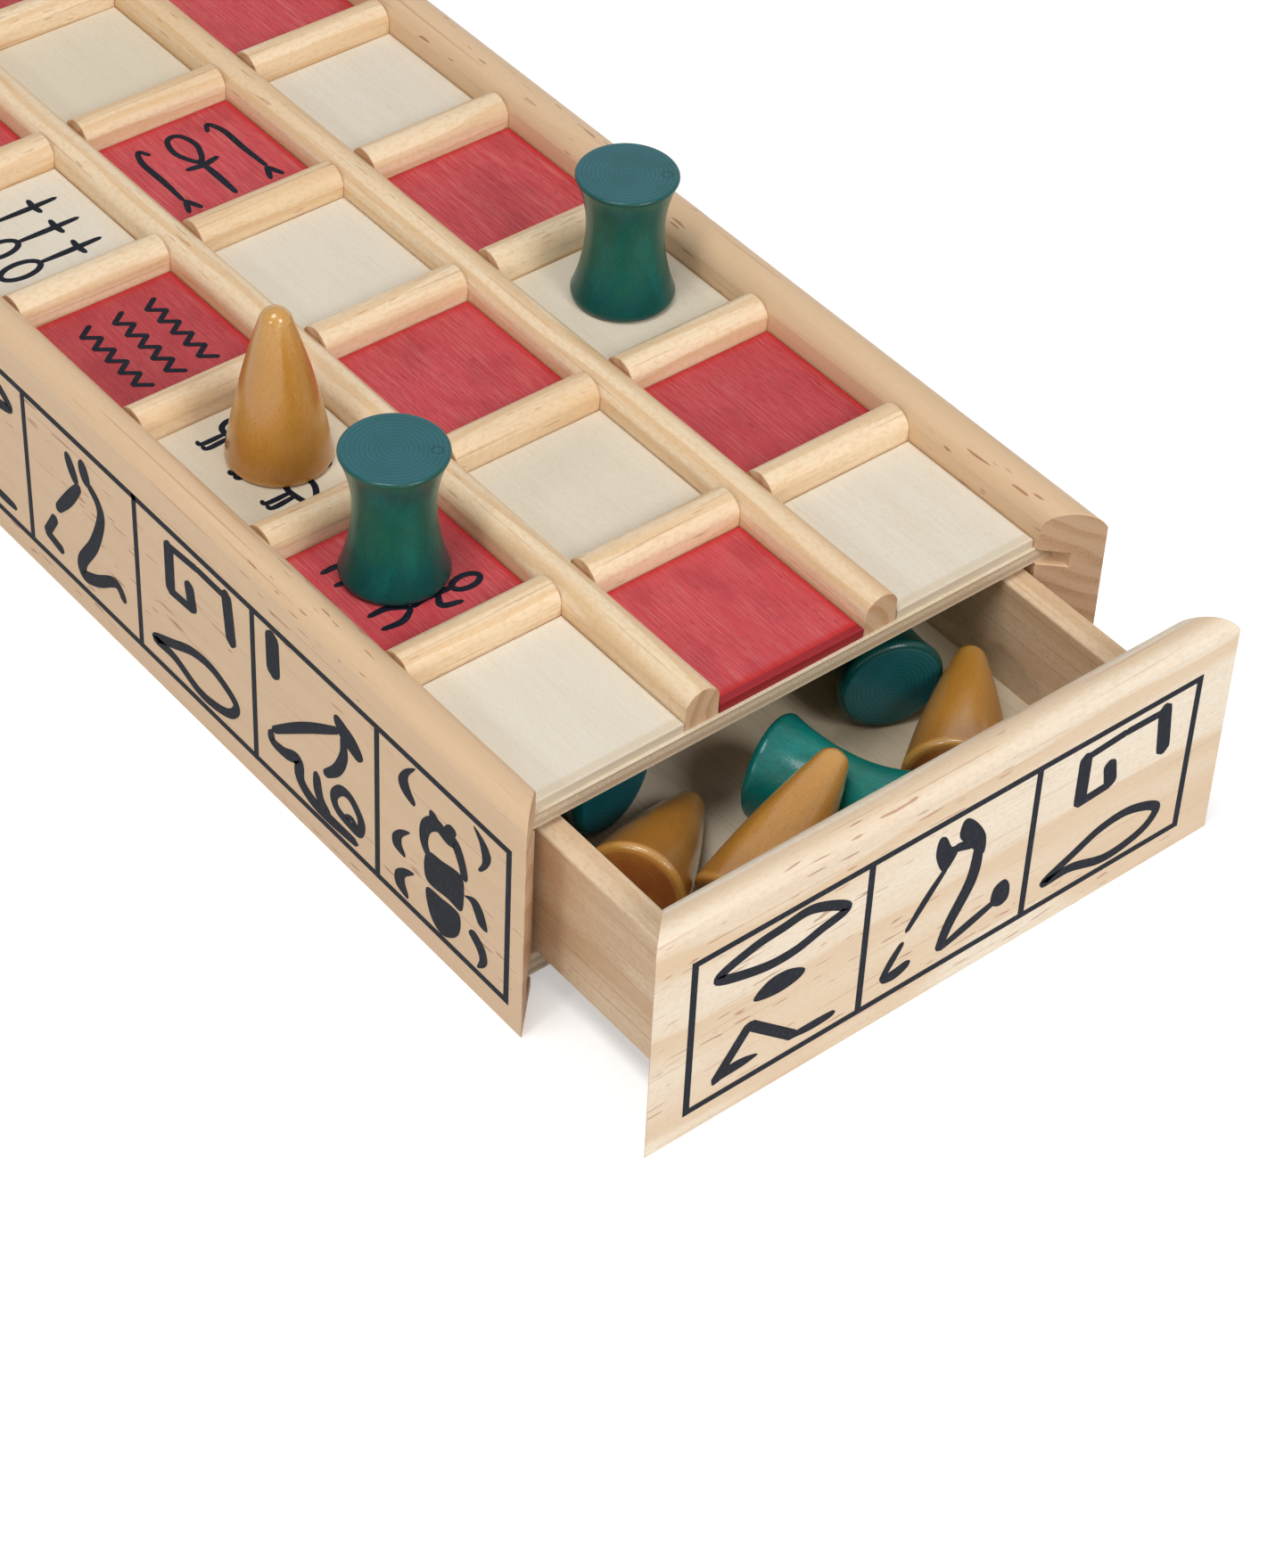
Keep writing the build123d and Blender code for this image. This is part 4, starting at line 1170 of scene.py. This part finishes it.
class SENET_OT_board_print(bpy.types.Operator):
    """Paints the ruled cells and their signs on the four outer faces"""
    bl_idname = "senet.board_print"
    bl_label = "Board print"

    def execute(self, context):
        ink = context.scene.senet_ink
        finish = sign_paint("blue_black_paint", ink)
        boards = [
            ("side_board_left", "case", 0, (0, -1, 0), ink.long_cells,
             SIDE_ORDER[::-1]),
            ("side_board_right", "case", 0, (0, 1, 0), ink.long_cells, SIDE_ORDER),
            ("end_board", "case", 1, (-1, 0, 0), ink.short_cells, END_ORDER),
            ("drawer_front", "drawer", 1, (1, 0, 0), ink.short_cells, DRAWER_ORDER),
        ]
        for node, body, thick, right, cells, order in boards:
            low, high = box_of(node)
            middle = (low + high) / 2
            origin = np.array([middle[0], middle[1], 0])
            outer_low = node in ("side_board_left", "drawer_front")
            origin[thick] = low[thick] if outer_low else high[thick]
            long_way = 1 - thick
            margin = ink.margin if long_way == 1 else ink.end_margin
            half = (high - low)[long_way] / 2 - margin
            parts = ruled_frame(ink, half, cells, order)
            shape = laid(parts, origin, right, (0, 0, 1), ink.film)
            make_piece(node + "_print", shape, body, finish)
        return {"FINISHED"}


class SENET_OT_square_marks(bpy.types.Operator):
    """Paints the marks of the five marked squares"""
    bl_idname = "senet.square_marks"
    bl_label = "Square marks"

    def execute(self, context):
        ink = context.scene.senet_ink
        finish = sign_paint("black_house_paint", ink)
        brush = ink.brush * MARK_BRUSH
        tall, thin = 11.2 * MM, 4.3 * MM
        # Each mark's sign, how far it stands from the square's middle, and half its
        # width and height.  The marks stand upright seen from the box's left, and
        # those of square_2_05 seen from the drawer.
        marks = {
            "square_2_05": [("ankh", 0, (6.4 * MM, tall)),
                            ("sceptre", -9.0 * MM, (-thin, tall)),
                            ("sceptre", 9.0 * MM, (thin, tall))],
            "square_1_05": [("lute", x * MM, (6.0 * MM, tall)) for x in (-7.4, 0, 7.4)],
            "square_1_04": [("water", 0, (10.6 * MM, tall * 0.92))],
            "square_1_03": [("ibis", x * MM, (5.2 * MM, 8.4 * MM))
                            for x in (-9.6, 0, 9.6)],
            "square_1_02": [("figure", x * MM, (6.8 * MM, tall)) for x in (-6.6, 6.6)],
        }
        for node, signs in marks.items():
            low, high = box_of(node)
            origin = (low + high) / 2
            origin[2] = high[2]
            parts = []
            for name, offset, size in signs:
                parts += drawn_sign(name, (offset, 0), np.array(size), brush)
            right, up = (0, -1, 0), (1, 0, 0)
            if node == "square_2_05":
                right, up = (1, 0, 0), (0, 1, 0)
            shape = laid(parts, origin, right, up, ink.film)
            slot = "red_square" if is_red(node) else "plain_square"
            make_piece(node + "_mark", shape, "case", finish)
        return {"FINISHED"}


class SENET_OT_pawns(bpy.types.Operator):
    """Turns the cone and spool pawns"""
    bl_idname = "senet.pawns"
    bl_label = "Pawns"

    def execute(self, context):
        pawns = context.scene.senet_pawns
        names = {"spool": "teal_stained_beech", "cone": "honey_varnished_beech"}
        finishes = {kind: turned_beech(name, pawns, kind)
                    for kind, name in names.items()}
        profiles = {"cone": cone_profile(pawns), "spool": spool_profile(pawns)}
        for node, (heading, rise, pale) in PAWN_POSES.items():
            kind = node.split("_")[0]
            points, faces = turned(profiles[kind], pawns.around)
            placed = place_like(points, node, heading, rise)
            body = node if node in ON_BOARD else "drawer"
            # Each point carries the pawn's own place and how pale it is painted, which
            # is partly painted light.
            own = np.column_stack([points / MM, np.full(len(points), pale)])
            make_piece(node + "_turned", (placed, faces), body,
                       finishes[kind], (node,), smooth=50, attribute=own)
        return {"FINISHED"}


def seen_directly(tree):
    """1 for the camera and for rays that mirror or pass, else 0: these see white."""
    rays = add(tree, "LightPath").node.outputs
    mirrored = add(tree, "Math", {0: rays["Is Glossy Ray"],
                                  1: rays["Is Transmission Ray"]}, operation="MAXIMUM")
    return add(tree, "Math", {0: rays["Is Camera Ray"], 1: mirrored},
               operation="MAXIMUM")


def posed(right, up, back, place):
    """World matrix of a camera or lamp, which looks away from its back."""
    pose = np.eye(4)
    pose[:3] = np.stack([right, up, back, place], 1)
    return Matrix(pose.tolist())


class SENET_OT_stage(bpy.types.Operator):
    """Sets up the camera, the soft lamps and the pale floor"""
    bl_idname = "senet.stage"
    bl_label = "Stage"

    def execute(self, context):
        stage, scene = context.scene.senet_stage, context.scene
        scene.view_settings.view_transform = "Standard"
        data = bpy.data.cameras.new("camera")
        data.sensor_fit = "HORIZONTAL"
        data.sensor_width = 36.0
        data.lens = stage.lens
        data.shift_x = (PHOTO_WIDTH / 2 - OPTICAL_CENTRE[0]) / PHOTO_WIDTH
        data.shift_y = (OPTICAL_CENTRE[1] - PHOTO_HEIGHT / 2) / PHOTO_WIDTH
        data.clip_start, data.clip_end = 0.05, 50
        camera = bpy.data.objects.new("camera", data)
        scene.collection.objects.link(camera)
        a, e, r = stage.azimuth, stage.elevation, stage.roll
        back = np.array([sin(a) * cos(e), -cos(a) * cos(e), sin(e)])
        level = np.array([cos(a), sin(a), 0])
        upright = np.cross(back, level)
        right = level * cos(r) + upright * sin(r)
        up = np.cross(back, right)
        camera.matrix_world = posed(right, up, back, stage.place)
        scene.camera = camera

        finish, tree = bare("pale_floor")
        away = add(tree, "VectorMath", {0: add(tree, "TexCoord", (), "Object")},
                   "Value", operation="LENGTH")
        white = add(tree, "MapRange", {0: away, 1: GLOW_NEAR, 2: GLOW_FAR,
                                         3: GLOW_LEAST, 4: 1.0})
        glow = add(tree, "Math", {0: seen_directly(tree), 1: white},
                   operation="MULTIPLY")
        closed(finish, {"Base Color": stage.floor, "Roughness": 0.9,
                        "Specular IOR Level": 0.0, "Emission Color": (1, 1, 1),
                        "Emission Strength": glow})
        mesh = bpy.data.meshes.new("floor")
        corners = [(x * FLOOR_REACH, y * FLOOR_REACH, 0)
                   for x, y in ((-1, -1), (1, -1), (1, 1), (-1, 1))]
        mesh.from_pydata(corners, [], [(0, 1, 2, 3)])
        mesh.materials.append(finish)
        floor = bpy.data.objects.new("floor", mesh)
        scene.collection.objects.link(floor)

        world = bpy.data.worlds.new("studio")
        world.use_nodes = True
        scene.world = world
        tree = world.node_tree
        tree.nodes.clear()
        strength = add(tree, "MapRange", {0: seen_directly(tree), 3: stage.ambient})
        glow = add(tree, "Background", {"Color": (1, 1, 1), "Strength": strength})
        add(tree, "OutputWorld", {"Surface": glow})

        for name, place, size, power in LAMPS:
            lamp = bpy.data.lights.new(name, "AREA")
            lamp.shape, lamp.size, lamp.energy = "DISK", size, power
            lit = bpy.data.objects.new(name, lamp)
            scene.collection.objects.link(lit)
            aim = np.array(LAMP_AIM) - place
            aim /= np.linalg.norm(aim)
            side = np.cross(aim, (0, 0, 1))
            side /= np.linalg.norm(side)
            lit.matrix_world = posed(side, np.cross(side, aim), -aim, place)
        return {"FINISHED"}


class SENET_PT_box(bpy.types.Panel):
    """Lists the pieces of the box and their sizes and colours"""
    bl_label = "Senet game box"
    bl_idname = "SENET_PT_box"
    bl_space_type = "VIEW_3D"
    bl_region_type = "UI"
    bl_category = "Senet"

    def draw(self, context):
        for key, operators in PANEL_ROWS:
            group = getattr(context.scene, key)
            box = self.layout.box()
            for name in group.__annotations__:
                box.prop(group, name)
            for operator in operators:
                box.operator(operator)


GROUPS = {
    "senet_wood": SenetWood,
    "senet_squares": SenetSquares,
    "senet_ink": SenetInk,
    "senet_pawns": SenetPawns,
    "senet_stage": SenetStage,
}
PANEL_ROWS = [
    ("senet_wood", ["senet.mouldings", "senet.rails"]),
    ("senet_squares", ["senet.flat_wood"]),
    ("senet_ink", ["senet.board_print", "senet.square_marks"]),
    ("senet_pawns", ["senet.pawns"]),
    ("senet_stage", ["senet.stage"]),
]
CLASSES = [*GROUPS.values(), SENET_OT_mouldings, SENET_OT_rails, SENET_OT_flat_wood,
           SENET_OT_board_print, SENET_OT_square_marks, SENET_OT_pawns,
           SENET_OT_stage, SENET_PT_box]


def register():
    for each in CLASSES:
        bpy.utils.register_class(each)
    for key, group in GROUPS.items():
        setattr(bpy.types.Scene, key, PointerProperty(type=group))


def unregister():
    for key in GROUPS:
        delattr(bpy.types.Scene, key)
    for each in reversed(CLASSES):
        bpy.utils.unregister_class(each)


def main():
    register()
    bpy.ops.senet.stage()
    bpy.ops.senet.mouldings()
    bpy.ops.senet.rails()
    bpy.ops.senet.flat_wood()
    bpy.ops.senet.board_print()
    bpy.ops.senet.square_marks()
    bpy.ops.senet.pawns()


if __name__ == "__main__":
    main()
